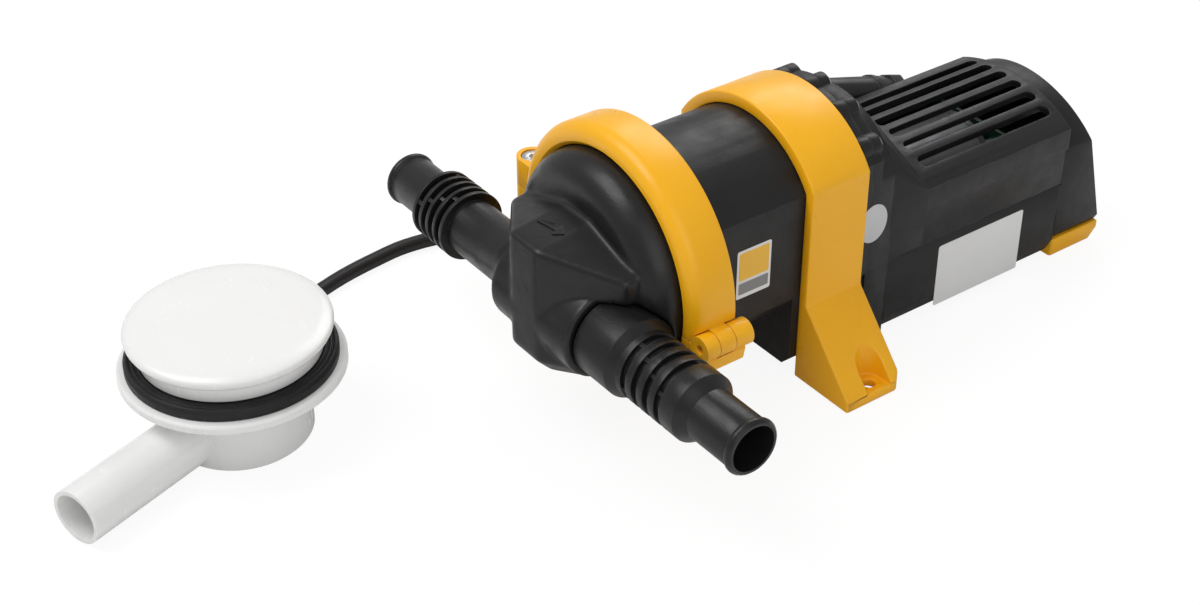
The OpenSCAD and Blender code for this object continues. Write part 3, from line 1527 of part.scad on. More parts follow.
module drain_screw() {
  cup_floor = strainer_z - strainer_drop + strainer_wall;
  color("#b9bcc0") at_drain() difference() {
    union() {
      translate([0, 0, column_h / 2]) cylinder(r = drain_screw_r, h = cup_floor - column_h / 2 + seat);
      translate([0, 0, cup_floor + seat / 2]) cylinder(r = 2 * drain_screw_r, h = drain_screw_r);
    }
    translate([0, 0, cup_floor + drain_screw_r / 2]) cylinder(r = drive_r, h = drain_screw_r, $fn = 6);
  }
}

module drain_cap() {
  top = cap_low + cap_t;
  skirt_r = strainer_r - strainer_wall - clear;
  color("#fafaf8") at_drain() rotate_extrude() polygon(concat([[0, cap_low]],
      [[skirt_r - strainer_wall, cap_low], [skirt_r - strainer_wall, cap_low - skirt_l],
          [skirt_r, cap_low - skirt_l], [skirt_r, cap_low]],
      arc(cap_r - cap_round, cap_low + cap_round, cap_round, -90, 0, 5),
      [for (i = [0:8]) let (a = i * 90 / 8) [cap_r - crown_run + crown_run * cos(a),
          cap_low + cap_round + (cap_t - cap_round - crown_dome) * sin(a)]],
      [[cap_r * crown_flat_share, top - crown_dome * crown_fall_share], [0, top]]));
}

head_housing();
inlet_tail();
outlet_tail();
tail_o_rings();
inlet_valve();
outlet_valve();
diaphragm();
diaphragm_plates();
diaphragm_screw();
connecting_rod();
body_housing();
mount_saddle();
clamp_upper();
clamp_lower();
clamp_hinge_pin();
clamp_screw();
gear_cover();
flange_screws();
gear_plate();
crank_bearings();
crankshaft();
worm_wheel();
worm();
motor_shaft();
armature();
armature_windings();
commutator();
motor_bushes();
motor_front_bell();
motor_can();
motor_rear_bell();
motor_magnets();
brushes();
plate_screws();
control_board();
motor_cover_upper();
motor_cover_lower();
end_cap();
rear_foot();
cable_gland();
gland_nut();
lead_pump_stretch();
lead_coil();
lead_drain_stretch();
drain_body();
drain_gland();
drain_sensor();
drain_gasket();
drain_strainer();
drain_screw();
drain_cap();
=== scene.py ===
"""Dresses the shower sump pump and its sensing drain, and sets its camera, floor and light."""

import logging
import math
from dataclasses import dataclass
from enum import Enum
from typing import Sequence

import bmesh
import bpy
from mathutils import Matrix, Vector
from mathutils.bvhtree import BVHTree


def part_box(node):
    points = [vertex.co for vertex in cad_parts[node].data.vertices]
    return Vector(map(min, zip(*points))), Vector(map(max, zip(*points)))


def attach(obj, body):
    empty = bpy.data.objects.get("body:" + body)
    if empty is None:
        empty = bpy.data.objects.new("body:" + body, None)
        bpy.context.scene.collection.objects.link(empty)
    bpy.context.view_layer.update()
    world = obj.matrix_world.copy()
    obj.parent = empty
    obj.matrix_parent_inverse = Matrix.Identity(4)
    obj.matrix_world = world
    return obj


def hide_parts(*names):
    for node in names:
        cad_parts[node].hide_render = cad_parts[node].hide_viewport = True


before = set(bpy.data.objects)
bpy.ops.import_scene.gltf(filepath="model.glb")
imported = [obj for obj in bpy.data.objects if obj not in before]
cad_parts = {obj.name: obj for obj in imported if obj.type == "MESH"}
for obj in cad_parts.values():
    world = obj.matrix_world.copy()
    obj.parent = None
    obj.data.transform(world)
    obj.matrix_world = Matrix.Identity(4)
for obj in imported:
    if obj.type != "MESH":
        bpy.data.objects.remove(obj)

logging.basicConfig(level=logging.INFO, format="%(levelname)s %(message)s")
LOG = logging.getLogger("pump")

MM = 0.001
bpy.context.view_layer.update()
SEAM_GAP = 0.001


class Body(Enum):
    """The rigid bodies that the added pieces ride on."""

    ROOT = "root"
    HEAD = "head"


def mm(*values: float) -> Vector:
    """Turns a point in millimetres into metres.

    Args:
        values: The point's three coordinates in millimetres.

    Returns:
        The point in metres.
    """
    return Vector(values) * MM


@dataclass(frozen=True)
class Finish:
    """How one material of the pump looks.

    Args:
        name: The material's name.
        slot: The record's material slot. Not used.
        color: The main colour, linear.
        tint: The colour that the main one drifts to.
        roughness: The lowest and highest roughness.
        grain: The size of the surface grain in millimetres.
        depth: The depth of the grain in millimetres.
        metallic: 1 for bare metal.
        brushed: How far the grain is drawn out along the pump.
        subsurface: The weight of light scattered under the surface.
        specular: The strength of its reflection.
        wear: How pale its rubbed edges and scuffs are.
    """

    name: str
    slot: str
    color: tuple[float, float, float]
    tint: tuple[float, float, float]
    roughness: tuple[float, float]
    grain: float = 0.6
    depth: float = 0.02
    metallic: float = 0.0
    brushed: float = 1.0
    subsurface: float = 0.0
    specular: float = 0.5
    wear: float = 0.1


BLACK = Finish("black_moulding", "black_moulding", (0.0062, 0.0061, 0.0064), (0.0105, 0.0104, 0.0108),
               (0.36, 0.5), grain=0.5, depth=0.03, specular=0.36, wear=0.05)
HEAD = Finish("black_head", "black_head", (0.0068, 0.0068, 0.0073), (0.0115, 0.0115, 0.0122),
              (0.28, 0.42), grain=0.8, depth=0.025, specular=0.38, wear=0.05)
YELLOW = Finish("yellow_plastic", "yellow_plastic", (0.9, 0.43, 0.004), (0.96, 0.48, 0.009),
                (0.27, 0.4), grain=0.7, depth=0.02, subsurface=0.06, specular=0.42, wear=0.12)
WHITE = Finish("white_plastic", "white_plastic", (0.8, 0.8, 0.79), (0.86, 0.86, 0.85),
               (0.16, 0.28), grain=1.6, depth=0.006, subsurface=0.05)
RUBBER = Finish("black_rubber", "black_rubber", (0.006, 0.006, 0.0065), (0.01, 0.01, 0.0105),
                (0.45, 0.62), grain=0.4, depth=0.02, specular=0.35, wear=0.04)
SHEATH = Finish("cable_sheath", "cable_sheath", (0.008, 0.008, 0.009), (0.013, 0.013, 0.014),
                (0.36, 0.5), grain=0.5, depth=0.012, specular=0.36, wear=0.04)
STEEL = Finish("zinc_steel", "zinc_steel", (0.56, 0.57, 0.58), (0.66, 0.66, 0.66),
               (0.22, 0.38), grain=0.4, depth=0.008, metallic=1.0, brushed=6.0)
NYLON = Finish("pale_nylon", "pale_nylon", (0.62, 0.58, 0.48), (0.7, 0.66, 0.56),
               (0.36, 0.5), grain=0.8, depth=0.01, subsurface=0.05)
ALLOY = Finish("cast_alloy", "cast_alloy", (0.5, 0.51, 0.52), (0.6, 0.6, 0.6),
               (0.42, 0.6), grain=0.7, depth=0.04, metallic=1.0)
BRONZE = Finish("bearing_bronze", "bearing_bronze", (0.46, 0.28, 0.1), (0.56, 0.36, 0.15),
                (0.32, 0.5), grain=0.3, depth=0.01, metallic=1.0)
CAN = Finish("motor_steel", "motor_steel", (0.12, 0.125, 0.13), (0.17, 0.17, 0.175),
             (0.3, 0.44), grain=0.6, depth=0.01, metallic=0.7)
LAMINATION = Finish("lamination_steel", "lamination_steel", (0.16, 0.165, 0.17), (0.23, 0.23, 0.235),
                    (0.4, 0.56), grain=0.35, depth=0.03, metallic=0.9, brushed=0.2)
COPPER = Finish("copper", "copper", (0.58, 0.24, 0.09), (0.68, 0.32, 0.14),
                (0.25, 0.42), grain=0.35, depth=0.02, metallic=1.0, brushed=4.0)
# Control board: a dark green solder mask, made darker still so that it paints the shade inside the housing
# where the board shows through the end slots.
SHADE_DARKENED_BOARD = Finish("board_green", "board_green", (0.002, 0.018, 0.007), (0.004, 0.026, 0.01),
               (0.32, 0.45), grain=1.2, depth=0.01)
DARK = Finish("dark_plastic", "dark_plastic", (0.03, 0.03, 0.032), (0.045, 0.045, 0.047),
              (0.36, 0.5), grain=0.6, depth=0.015)
PAPER = Finish("label_film", "white_plastic", (0.74, 0.74, 0.73), (0.79, 0.79, 0.78),
               (0.3, 0.42), grain=0.9, depth=0.006)
AMBER = Finish("label_amber", "yellow_plastic", (0.84, 0.47, 0.03), (0.88, 0.52, 0.05),
               (0.28, 0.38), grain=0.9, depth=0.004)
GREY = Finish("label_grey", "motor_steel", (0.2, 0.21, 0.215), (0.24, 0.25, 0.25),
              (0.3, 0.42), grain=0.9, depth=0.004)
FOIL = Finish("label_foil", "zinc_steel", (0.5, 0.51, 0.52), (0.6, 0.6, 0.61),
              (0.3, 0.45), grain=0.5, depth=0.01, metallic=0.75, brushed=5.0)

NODE_FINISHES: dict[str, Finish] = {}
for _finish, _nodes in (
    (BLACK, "body_housing gear_cover motor_cover_upper motor_cover_lower end_cap"),
    (HEAD, "head_housing inlet_tail outlet_tail cable_gland gland_nut"),
    (YELLOW, "mount_saddle clamp_upper clamp_lower rear_foot"),
    (WHITE, "drain_body drain_gland drain_strainer drain_cap"),
    (RUBBER, "tail_o_rings inlet_valve outlet_valve diaphragm drain_gasket"),
    (STEEL, "clamp_hinge_pin clamp_screw flange_screws plate_screws drain_screw diaphragm_screw motor_shaft "
            "crankshaft diaphragm_plates"),
    (NYLON, "connecting_rod worm_wheel"),
    (ALLOY, "gear_plate motor_front_bell"),
    (BRONZE, "crank_bearings motor_bushes worm"),
    (CAN, "motor_can motor_magnets"),
    (LAMINATION, "armature"),
    (COPPER, "armature_windings commutator brushes"),
    (SHADE_DARKENED_BOARD, "control_board"),
    (DARK, "motor_rear_bell drain_sensor"),
):
    for _node in _nodes.split():
        NODE_FINISHES[_node] = _finish

BEVELS = {"head_housing": 0.9, "mount_saddle": 0.9, "clamp_upper": 0.7, "clamp_lower": 0.7,
          "rear_foot": 0.9, "motor_cover_upper": 0.8, "motor_cover_lower": 0.8, "end_cap": 1.0,
          "gear_cover": 0.6, "body_housing": 0.5, "inlet_tail": 0.4, "outlet_tail": 0.4,
          "drain_body": 0.7, "drain_cap": 0.5, "drain_gasket": 0.3, "drain_strainer": 0.4,
          "cable_gland": 0.5, "gland_nut": 0.6, "drain_gland": 0.4}
BLENDED = {"head_housing": (0.7, 14)}
PLAIN_EDGES = {"worm", "worm_wheel", "lead_pump_stretch", "lead_coil", "lead_drain_stretch"}

MIX_FACTOR, MIX_FIRST, MIX_SECOND = 0, 6, 7
MIX_RESULT = 2


@dataclass
class ShaderGroups:
    """The effects that the materials share, each made once as a node group.

    Args:
        mottle_detail: The detail of the slow drift of colour.
        rub_scale: The scale of the drift of roughness.
        rub_detail: Its detail.
        rub_span: The values of its noise that give the lowest and the highest roughness.
        grain_detail: The detail of the fine grain.
        edge_radius: How far from an edge it is rubbed, in millimetres.
        edge_samples: How many rays look for an edge.
        edge_span: How alike the rounded and the true normal are on a flat face and on a rubbed edge.
        patch_scale: The scale of the patches that break a rubbed edge up.
        patch_detail: Their detail.
        patch_span: The values of their noise where rubbing starts and where it is full.
        scuff_turn: The turn of the fine scuffs, in radians.
        scuff_stretch: How much finer they are across than along.
        scuff_scale: Their scale.
        scuff_detail: Their detail.
        scuff_span: The values of their noise where a scuff starts and where it is full.
    """

    mottle_detail: float = 3.0
    rub_scale: float = 160.0
    rub_detail: float = 4.0
    rub_span: tuple[float, float] = (0.3, 0.7)
    grain_detail: float = 2.0
    edge_radius: float = 0.7
    edge_samples: int = 4
    edge_span: tuple[float, float] = (0.985, 0.9)
    patch_scale: float = 90.0
    patch_detail: float = 4.0
    patch_span: tuple[float, float] = (0.42, 0.62)
    scuff_turn: tuple[float, float, float] = (0.5, 0.9, 0.7)
    scuff_stretch: float = 14.0
    scuff_scale: float = 110.0
    scuff_detail: float = 2.0
    scuff_span: tuple[float, float] = (0.66, 0.74)

    def __post_init__(self) -> None:
        """Makes the groups."""
        self.mottle = self._make_mottle()
        self.grain = self._make_grain()
        self.wear = self._make_wear()

    @staticmethod
    def _group(name: str, inputs: dict[str, str], outputs: dict[str, str]
               ) -> tuple[bpy.types.NodeTree, bpy.types.Node, bpy.types.Node]:
        """Starts a node group with its sockets.

        Args:
            name: The group's name.
            inputs: The name and the kind of each input.
            outputs: The name and the kind of each output.

        Returns:
            The group, its input node and its output node.
        """
        group = bpy.data.node_groups.new(name, "ShaderNodeTree")
        for side, sockets in (("INPUT", inputs), ("OUTPUT", outputs)):
            for socket, kind in sockets.items():
                group.interface.new_socket(name=socket, in_out=side, socket_type=f"NodeSocket{kind}")
        return group, group.nodes.new("NodeGroupInput"), group.nodes.new("NodeGroupOutput")

    @staticmethod
    def _noise(group: bpy.types.NodeTree, vector: bpy.types.NodeSocket, detail: float) -> bpy.types.Node:
        """Adds a noise texture.

        Args:
            group: The node group.
            vector: The socket that gives the place.
            detail: The detail of the noise.

        Returns:
            The texture node.
        """
        noise = group.nodes.new("ShaderNodeTexNoise")
        noise.inputs["Detail"].default_value = detail
        group.links.new(vector, noise.inputs["Vector"])
        return noise

    @staticmethod
    def _spread(group: bpy.types.NodeTree, value: bpy.types.NodeSocket, span: tuple[float, float]
                ) -> bpy.types.Node:
        """Adds a node that spreads a span of values from 0 to 1.

        Args:
            group: The node group.
            value: The socket that gives the value.
            span: The values that become 0 and 1.

        Returns:
            The node.
        """
        spread = group.nodes.new("ShaderNodeMapRange")
        spread.inputs["From Min"].default_value, spread.inputs["From Max"].default_value = span
        group.links.new(value, spread.inputs["Value"])
        return spread

    def _make_mottle(self) -> bpy.types.NodeTree:
        """Makes the slow drift of colour and roughness that every moulding shows.

        Returns:
            The node group.
        """
        inputs = {"Vector": "Vector", "Size": "Float", "Color": "Color", "Tint": "Color", "Low": "Float",
                  "High": "Float"}
        group, source, sink = self._group("soft_mottle", inputs, {"Color": "Color", "Roughness": "Float"})
        nodes, links = group.nodes, group.links
        cloud = self._noise(group, source.outputs["Vector"], self.mottle_detail)
        links.new(source.outputs["Size"], cloud.inputs["Scale"])
        mix = nodes.new("ShaderNodeMix")
        mix.data_type = "RGBA"
        links.new(cloud.outputs["Fac"], mix.inputs[MIX_FACTOR])
        links.new(source.outputs["Color"], mix.inputs[MIX_FIRST])
        links.new(source.outputs["Tint"], mix.inputs[MIX_SECOND])
        rub = self._noise(group, source.outputs["Vector"], self.rub_detail)
        rub.inputs["Scale"].default_value = self.rub_scale
        spread = self._spread(group, rub.outputs["Fac"], self.rub_span)
        links.new(source.outputs["Low"], spread.inputs["To Min"])
        links.new(source.outputs["High"], spread.inputs["To Max"])
        links.new(mix.outputs[MIX_RESULT], sink.inputs["Color"])
        links.new(spread.outputs["Result"], sink.inputs["Roughness"])
        return group

    def _make_grain(self) -> bpy.types.NodeTree:
        """Makes the fine moulded or brushed grain of a surface.

        Returns:
            The node group.
        """
        inputs = {"Vector": "Vector", "Scale": "Float", "Depth": "Float"}
        group, source, sink = self._group("surface_grain", inputs, {"Normal": "Vector"})
        nodes, links = group.nodes, group.links
        fine = self._noise(group, source.outputs["Vector"], self.grain_detail)
        cells = nodes.new("ShaderNodeTexVoronoi")
        cells.feature = "SMOOTH_F1"
        links.new(source.outputs["Vector"], cells.inputs["Vector"])
        for texture in (fine, cells):
            links.new(source.outputs["Scale"], texture.inputs["Scale"])
        add = nodes.new("ShaderNodeMath")
        links.new(fine.outputs["Fac"], add.inputs[0])
        links.new(cells.outputs["Distance"], add.inputs[1])
        bump = nodes.new("ShaderNodeBump")
        bump.inputs["Strength"].default_value = 1.0
        links.new(source.outputs["Depth"], bump.inputs["Distance"])
        links.new(add.outputs[0], bump.inputs["Height"])
        links.new(bump.outputs["Normal"], sink.inputs["Normal"])
        return group

    def _make_wear(self) -> bpy.types.NodeTree:
        """Makes the mask of rubbed edges and of fine scuffs.

        Returns:
            The node group.
        """
        outputs = {"Edges": "Float", "Scuffs": "Float"}
        group, source, sink = self._group("edge_wear", {"Vector": "Vector"}, outputs)
        nodes, links = group.nodes, group.links
        shape = nodes.new("ShaderNodeNewGeometry")
        rounded = nodes.new("ShaderNodeBevel")
        rounded.samples = self.edge_samples
        rounded.inputs["Radius"].default_value = self.edge_radius * MM
        likeness = nodes.new("ShaderNodeVectorMath")
        likeness.operation = "DOT_PRODUCT"
        links.new(rounded.outputs["Normal"], likeness.inputs[0])
        links.new(shape.outputs["Normal"], likeness.inputs[1])
        ridge = self._spread(group, likeness.outputs["Value"], self.edge_span)
        patches = self._noise(group, source.outputs["Vector"], self.patch_detail)
        patches.inputs["Scale"].default_value = self.patch_scale
        broken = self._spread(group, patches.outputs["Fac"], self.patch_span)
        rubbed = nodes.new("ShaderNodeMath")
        rubbed.operation = "MULTIPLY"
        links.new(ridge.outputs["Result"], rubbed.inputs[0])
        links.new(broken.outputs["Result"], rubbed.inputs[1])
        turn = nodes.new("ShaderNodeMapping")
        turn.inputs["Rotation"].default_value = self.scuff_turn
        turn.inputs["Scale"].default_value = (1.0, self.scuff_stretch, 1.0)
        links.new(source.outputs["Vector"], turn.inputs["Vector"])
        hairs = self._noise(group, turn.outputs["Vector"], self.scuff_detail)
        hairs.inputs["Scale"].default_value = self.scuff_scale
        thin = self._spread(group, hairs.outputs["Fac"], self.scuff_span)
        links.new(rubbed.outputs[0], sink.inputs["Edges"])
        links.new(thin.outputs["Result"], sink.inputs["Scuffs"])
        return group


@dataclass
class Paintbox:
    """Makes each finish's material once and hands it out.

    Args:
        drift_scale: The scale of the slow drift of colour.
        scuff_roughness: How much rougher a scuff is.
        scatter_shares: How far red, green and blue scatter under a surface, as shares of the depth.
        scatter_depth: The depth of the scattering in millimetres.
    """

    drift_scale: float = 28.0
    scuff_roughness: float = 0.12
    scatter_shares: tuple[float, float, float] = (1.0, 0.6, 0.3)
    scatter_depth: float = 0.8

    def __post_init__(self) -> None:
        """Makes the shared effects."""
        self.groups = ShaderGroups()
        self.made: dict[str, bpy.types.Material] = {}

    def get(self, finish: Finish) -> bpy.types.Material:
        """Gives the material of a finish.

        Args:
            finish: The finish.

        Returns:
            Its material.
        """
        if finish.name not in self.made:
            self.made[finish.name] = self._make(finish)
            LOG.info("material %s", finish.name)
        return self.made[finish.name]

    @staticmethod
    def _effect(tree: bpy.types.NodeTree, group: bpy.types.NodeTree, vector: bpy.types.NodeSocket,
                **values: float | tuple[float, ...]) -> bpy.types.Node:
        """Places a shared effect in a material.

        Args:
            tree: The material's node tree.
            group: The effect.
            vector: The socket that gives the place.
            values: The material's own values of the effect.

        Returns:
            The node that holds the effect.
        """
        node = tree.nodes.new("ShaderNodeGroup")
        node.node_tree = group
        tree.links.new(vector, node.inputs["Vector"])
        for name, value in values.items():
            node.inputs[name].default_value = value
        return node

    def _make(self, finish: Finish) -> bpy.types.Material:
        """Builds the node tree of one finish.

        Args:
            finish: The finish.

        Returns:
            The new material.
        """
        material = bpy.data.materials.new(finish.name)
        material.use_nodes = True
        tree = material.node_tree
        nodes, links = tree.nodes, tree.links
        shader = nodes["Principled BSDF"]
        spot = nodes.new("ShaderNodeTexCoord").outputs["Object"]
        stretch = nodes.new("ShaderNodeMapping")
        stretch.inputs["Scale"].default_value = (1.0, 1.0 / finish.brushed, 1.0)
        links.new(spot, stretch.inputs["Vector"])
        mottle = self._effect(tree, self.groups.mottle, spot, Size=self.drift_scale,
                              Color=(*finish.color, 1.0), Tint=(*finish.tint, 1.0),
                              Low=finish.roughness[0], High=finish.roughness[1])
        grain = self._effect(tree, self.groups.grain, stretch.outputs["Vector"],
                             Scale=1.0 / (finish.grain * MM), Depth=finish.depth * MM)
        wear = self._effect(tree, self.groups.wear, spot)
        worn = nodes.new("ShaderNodeMix")
        worn.data_type = "RGBA"
        pale = [c + (1.0 - c) * finish.wear for c in finish.tint]
        worn.inputs[MIX_SECOND].default_value = (*pale, 1.0)
        links.new(wear.outputs["Edges"], worn.inputs[MIX_FACTOR])
        links.new(mottle.outputs["Color"], worn.inputs[MIX_FIRST])
        scuffed = nodes.new("ShaderNodeMath")
        scuffed.operation = "MULTIPLY_ADD"
        scuffed.inputs[1].default_value = self.scuff_roughness
        scuffed.use_clamp = True
        links.new(wear.outputs["Scuffs"], scuffed.inputs[0])
        links.new(mottle.outputs["Roughness"], scuffed.inputs[2])
        links.new(worn.outputs[MIX_RESULT], shader.inputs["Base Color"])
        links.new(scuffed.outputs[0], shader.inputs["Roughness"])
        links.new(grain.outputs["Normal"], shader.inputs["Normal"])
        shader.inputs["Specular IOR Level"].default_value = finish.specular
        shader.inputs["Metallic"].default_value = finish.metallic
        shader.inputs["Subsurface Weight"].default_value = finish.subsurface
        shader.inputs["Subsurface Radius"].default_value = self.scatter_shares
        shader.inputs["Subsurface Scale"].default_value = self.scatter_depth * MM
        return material


class Surface:
    """Finds places on a CAD node's surface."""

    def __init__(self, node: str) -> None:
        """Reads the node's mesh.

        Args:
            node: The CAD node.
        """
        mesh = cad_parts[node].data
        self.tree = BVHTree.FromPolygons([v.co for v in mesh.vertices], [p.vertices for p in mesh.polygons])

    def hit(self, start: Vector, way: Vector) -> Vector:
        """Finds where a ray meets the surface.

        Args:
            start: The ray's start, in metres.
            way: The ray's direction.

        Returns:
            The place.
        """
        place = self.tree.ray_cast(start, way)[0]
        if place is None:
            raise ValueError(f"no surface from {tuple(start)} along {tuple(way)}")
        return place


@dataclass
class Maker:
    """Makes pieces, paints them and hangs them on their bodies.

    Args:
        paint: The materials.
        count: How many pieces are made so far.
    """

    paint: Paintbox
    count: int = 0

    def add(self, name: str, mesh: bpy.types.Mesh, finish: Finish, body: Body) -> bpy.types.Object:
        """Puts a finished mesh into the scene.

        Args:
            name: The piece's name.
            mesh: Its mesh, in the part's frame.
            finish: Its finish.
            body: The body that it rides on.

        Returns:
            The new object.
        """
        piece = bpy.data.objects.new(name, mesh)
        bpy.context.scene.collection.objects.link(piece)
        mesh.materials.clear()
        mesh.materials.append(self.paint.get(finish))
        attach(piece, body.value)
        self.count += 1
        LOG.info("piece %s on %s", name, body.value)
        return piece

    def from_bmesh(self, name: str, form: bmesh.types.BMesh, finish: Finish, body: Body, smooth: bool = True
                   ) -> bpy.types.Object:
        """Turns a bmesh into a piece.

        Args:
            name: The piece's name.
            form: The bmesh, which is freed.
            finish: The piece's finish.
            body: The body that it rides on.
            smooth: True for smooth shading.

        Returns:
            The new object.
        """
        bmesh.ops.recalc_face_normals(form, faces=form.faces)
        for face in form.faces:
            face.smooth = smooth
        mesh = bpy.data.meshes.new(name)
        form.to_mesh(mesh)
        form.free()
        return self.add(name, mesh, finish, body)


@dataclass
class Mouldings:
    """The CAD nodes, with their materials and their softened edges.

    Args:
        paint: The materials.
        weld: How near the doubled corners of a mesh lie, in millimetres.
        edge_angle: The smallest angle between two faces that counts as an edge, in degrees.
        edge_steps: The steps across a softened edge.
        small_bevel: The width of an edge that has none of its own in BEVELS, in millimetres.
        flow_share: How far each round of smoothing goes.
    """

    paint: Paintbox
    weld: float = 0.002
    edge_angle: float = 32.0
    edge_steps: int = 3
    small_bevel: float = 0.25
    flow_share: float = 0.5

    def join_corners(self, piece: bpy.types.Object) -> None:
        """Joins a mesh whose corners are doubled.

        Args:
            piece: The object.
        """
        join = piece.modifiers.new("join", "WELD")
        join.merge_threshold = self.weld * MM

    def soften(self, piece: bpy.types.Object, width: float) -> None:
        """Rounds a piece's sharp edges.

        Args:
            piece: The object.
            width: The bevel's width in millimetres.
        """
        bevel = piece.modifiers.new("edges", "BEVEL")
        bevel.width = width * MM
        bevel.segments = self.edge_steps
        bevel.limit_method = "ANGLE"
        bevel.angle_limit = math.radians(self.edge_angle)
        bevel.use_clamp_overlap = True
        bevel.harden_normals = True
        bevel.miter_outer = "MITER_ARC"

    def blend(self, piece: bpy.types.Object, size: float, rounds: int) -> None:
        """Flows a piece's forms into each other as a mould does, on a fine even mesh.

        Args:
            piece: The object.
            size: The size of the mesh's cells in millimetres.
            rounds: How many times the mesh is smoothed.
        """
        cells = piece.modifiers.new("cells", "REMESH")
        cells.mode = "VOXEL"
        cells.voxel_size = size * MM
        cells.use_smooth_shade = True
        flow = piece.modifiers.new("flow", "SMOOTH")
        flow.factor = self.flow_share
        flow.iterations = rounds

    def build(self) -> None:
        """Gives every CAD node its material and its softened edges."""
        for name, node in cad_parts.items():
            if name not in NODE_FINISHES:
                continue
            node.data.materials.clear()
            node.data.materials.append(self.paint.get(NODE_FINISHES[name]))
            for face in node.data.polygons:
                face.use_smooth = True
            if name not in PLAIN_EDGES:
                self.join_corners(node)
            if name in BLENDED:
                self.blend(node, *BLENDED[name])
            elif name not in PLAIN_EDGES:
                self.soften(node, BEVELS.get(name, self.small_bevel))
            LOG.info("dressed %s", name)


def absorb(whole: bmesh.types.BMesh, part: bmesh.types.BMesh) -> None:
    """Adds one form to another.

    Args:
        whole: The form that takes the other in.
        part: The form that is added, which is freed.
    """
    spare = bpy.data.meshes.new("spare")
    part.to_mesh(spare)
    part.free()
    whole.from_mesh(spare)
    bpy.data.meshes.remove(spare)


def spun(profile: Sequence[tuple[float, float]], steps: int = 32) -> bmesh.types.BMesh:
    """Turns an outline of radius and height round the Z axis.

    Args:
        profile: Points of radius and height in millimetres.
        steps: The number of steps round the axis.

    Returns:
        The turned form, in metres.
    """
    form = bmesh.new()
    points = [form.verts.new(mm(r, 0, z)) for r, z in profile]
    edges = [form.edges.new(pair) for pair in zip(points, points[1:])]
    bmesh.ops.spin(form, geom=points + edges, axis=(0, 0, 1), cent=(0, 0, 0), steps=steps, angle=2 * math.pi)
    bmesh.ops.remove_doubles(form, verts=form.verts, dist=SEAM_GAP * MM)
    return form


def prism(outline: Sequence[tuple[float, float]], low: float, high: float) -> bmesh.types.BMesh:
    """Extrudes an outline along Z.

    Args:
        outline: Points of X and Y in millimetres.
        low: The lower end in millimetres.
        high: The upper end in millimetres.

    Returns:
        The extruded form, in metres.
    """
    form = bmesh.new()
    base = [form.verts.new(mm(x, y, low)) for x, y in outline]
    top = [form.verts.new(mm(x, y, high)) for x, y in outline]
    form.faces.new(list(reversed(base)))
    form.faces.new(top)
    count = len(outline)
    for i in range(count):
        form.faces.new((base[i], base[(i + 1) % count], top[(i + 1) % count], top[i]))
    return form


def rounded_rectangle(width: float, height: float, radius: float, steps: int = 5
                      ) -> list[tuple[float, float]]:
    """Draws a rectangle with round corners about the origin.

    Args:
        width: Its width.
        height: Its height.
        radius: The radius of its corners.
        steps: Steps on each corner.

    Returns:
        The outline's points.
    """
    points = []
    for corner, (sx, sy) in enumerate(((1, 1), (-1, 1), (-1, -1), (1, -1))):
        cx, cy = sx * (width / 2 - radius), sy * (height / 2 - radius)
        for i in range(steps + 1):
            a = math.radians(90 * corner + 90 * i / steps)
            points.append((cx + radius * math.cos(a), cy + radius * math.sin(a)))
    return points


def ellipse(width: float, height: float, steps: int = 48) -> list[tuple[float, float]]:
    """Draws an ellipse about the origin.

    Args:
        width: Its width.
        height: Its height.
        steps: The number of points.

    Returns:
        The outline's points.
    """
    turns = [2 * math.pi * i / steps for i in range(steps)]
    return [(width / 2 * math.cos(a), height / 2 * math.sin(a)) for a in turns]


def arrow(length: float, head: float, width: float, stem: float) -> list[tuple[float, float]]:
    """Draws a plain flow arrow along +X about the origin.

    Args:
        length: Its whole length.
        head: The length of its head.
        width: The width of its head.
        stem: The width of its stem.

    Returns:
        The outline's points.
    """
    neck = length / 2 - head
    return [(-length / 2, -stem / 2), (neck, -stem / 2), (neck, -width / 2), (length / 2, 0),
            (neck, width / 2), (neck, stem / 2), (-length / 2, stem / 2)]


def placed(origin: Vector, across: Vector, up: Vector) -> Matrix:
    """Makes the frame of something that lies on a face.

    Args:
        origin: Its middle, in metres.
        across: The direction of its X axis.
        up: The direction of its Y axis, made square to the first.

    Returns:
        The frame's matrix.
    """
    x = across.normalized()
    z = x.cross(up).normalized()
    y = z.cross(x)
    frame_matrix = Matrix((x, y, z)).transposed().to_4x4()
    frame_matrix.translation = origin
    return frame_matrix


# Sensor lead

PUMP_ROUTE = [(-33, 92.5, 54.4), (-33, 98.3, 52.7), (-35, 105, 50.4), (-38.4, 111, 46.8), (-40, 117, 41),
              (-40, 121, 33), (-40, 121.5, 25), (-39.4, 118, 17.5), (-38.6, 110, 12), (-38, 100, 10),
              (-38, 86, 9.9), (-38, 72, 9.9), (-38, 64.1, 9.9)]
DRAIN_ROUTE = [(-64.3, 18.6, 3.1), (-69.5, 15.6, 3.1), (-77, 9, 3.1), (-83, -2, 3.1), (-87, -16, 3.1),
               (-92, -34, 3.1), (-101, -48, 3.1), (-112, -59, 3.1), (-120, -72, 3.1), (-123, -88, 3.1),
               (-122, -102, 3.1), (-119, -120, 3.1), (-113, -140, 3.2), (-106, -153, 6),
               (-99.6, -162.8, 12.4), (-94.3, -168.1, 15), (-88.7, -172.8, 15)]


def smooth_route(points: Sequence[tuple[float, float, float]], steps: int) -> list[Vector]:
    """Runs a smooth curve through the points of a route.

    Args:
        points: The route's points in millimetres.
        steps: Steps between two points.

    Returns:
        The curve's points in millimetres.
    """
    p = [Vector(q) for q in points]
    last = len(p) - 1
    curve = []
    for i in range(last):
        a, b, c, d = p[max(i - 1, 0)], p[i], p[i + 1], p[min(i + 2, last)]
        for k in range(steps):
            s = k / steps
            curve.append(0.5 * (2 * b + (c - a) * s + (2 * a - 5 * b + 4 * c - d) * s * s
                                + (3 * b - a - 3 * c + d) * s ** 3))
    return curve + [p[last]]


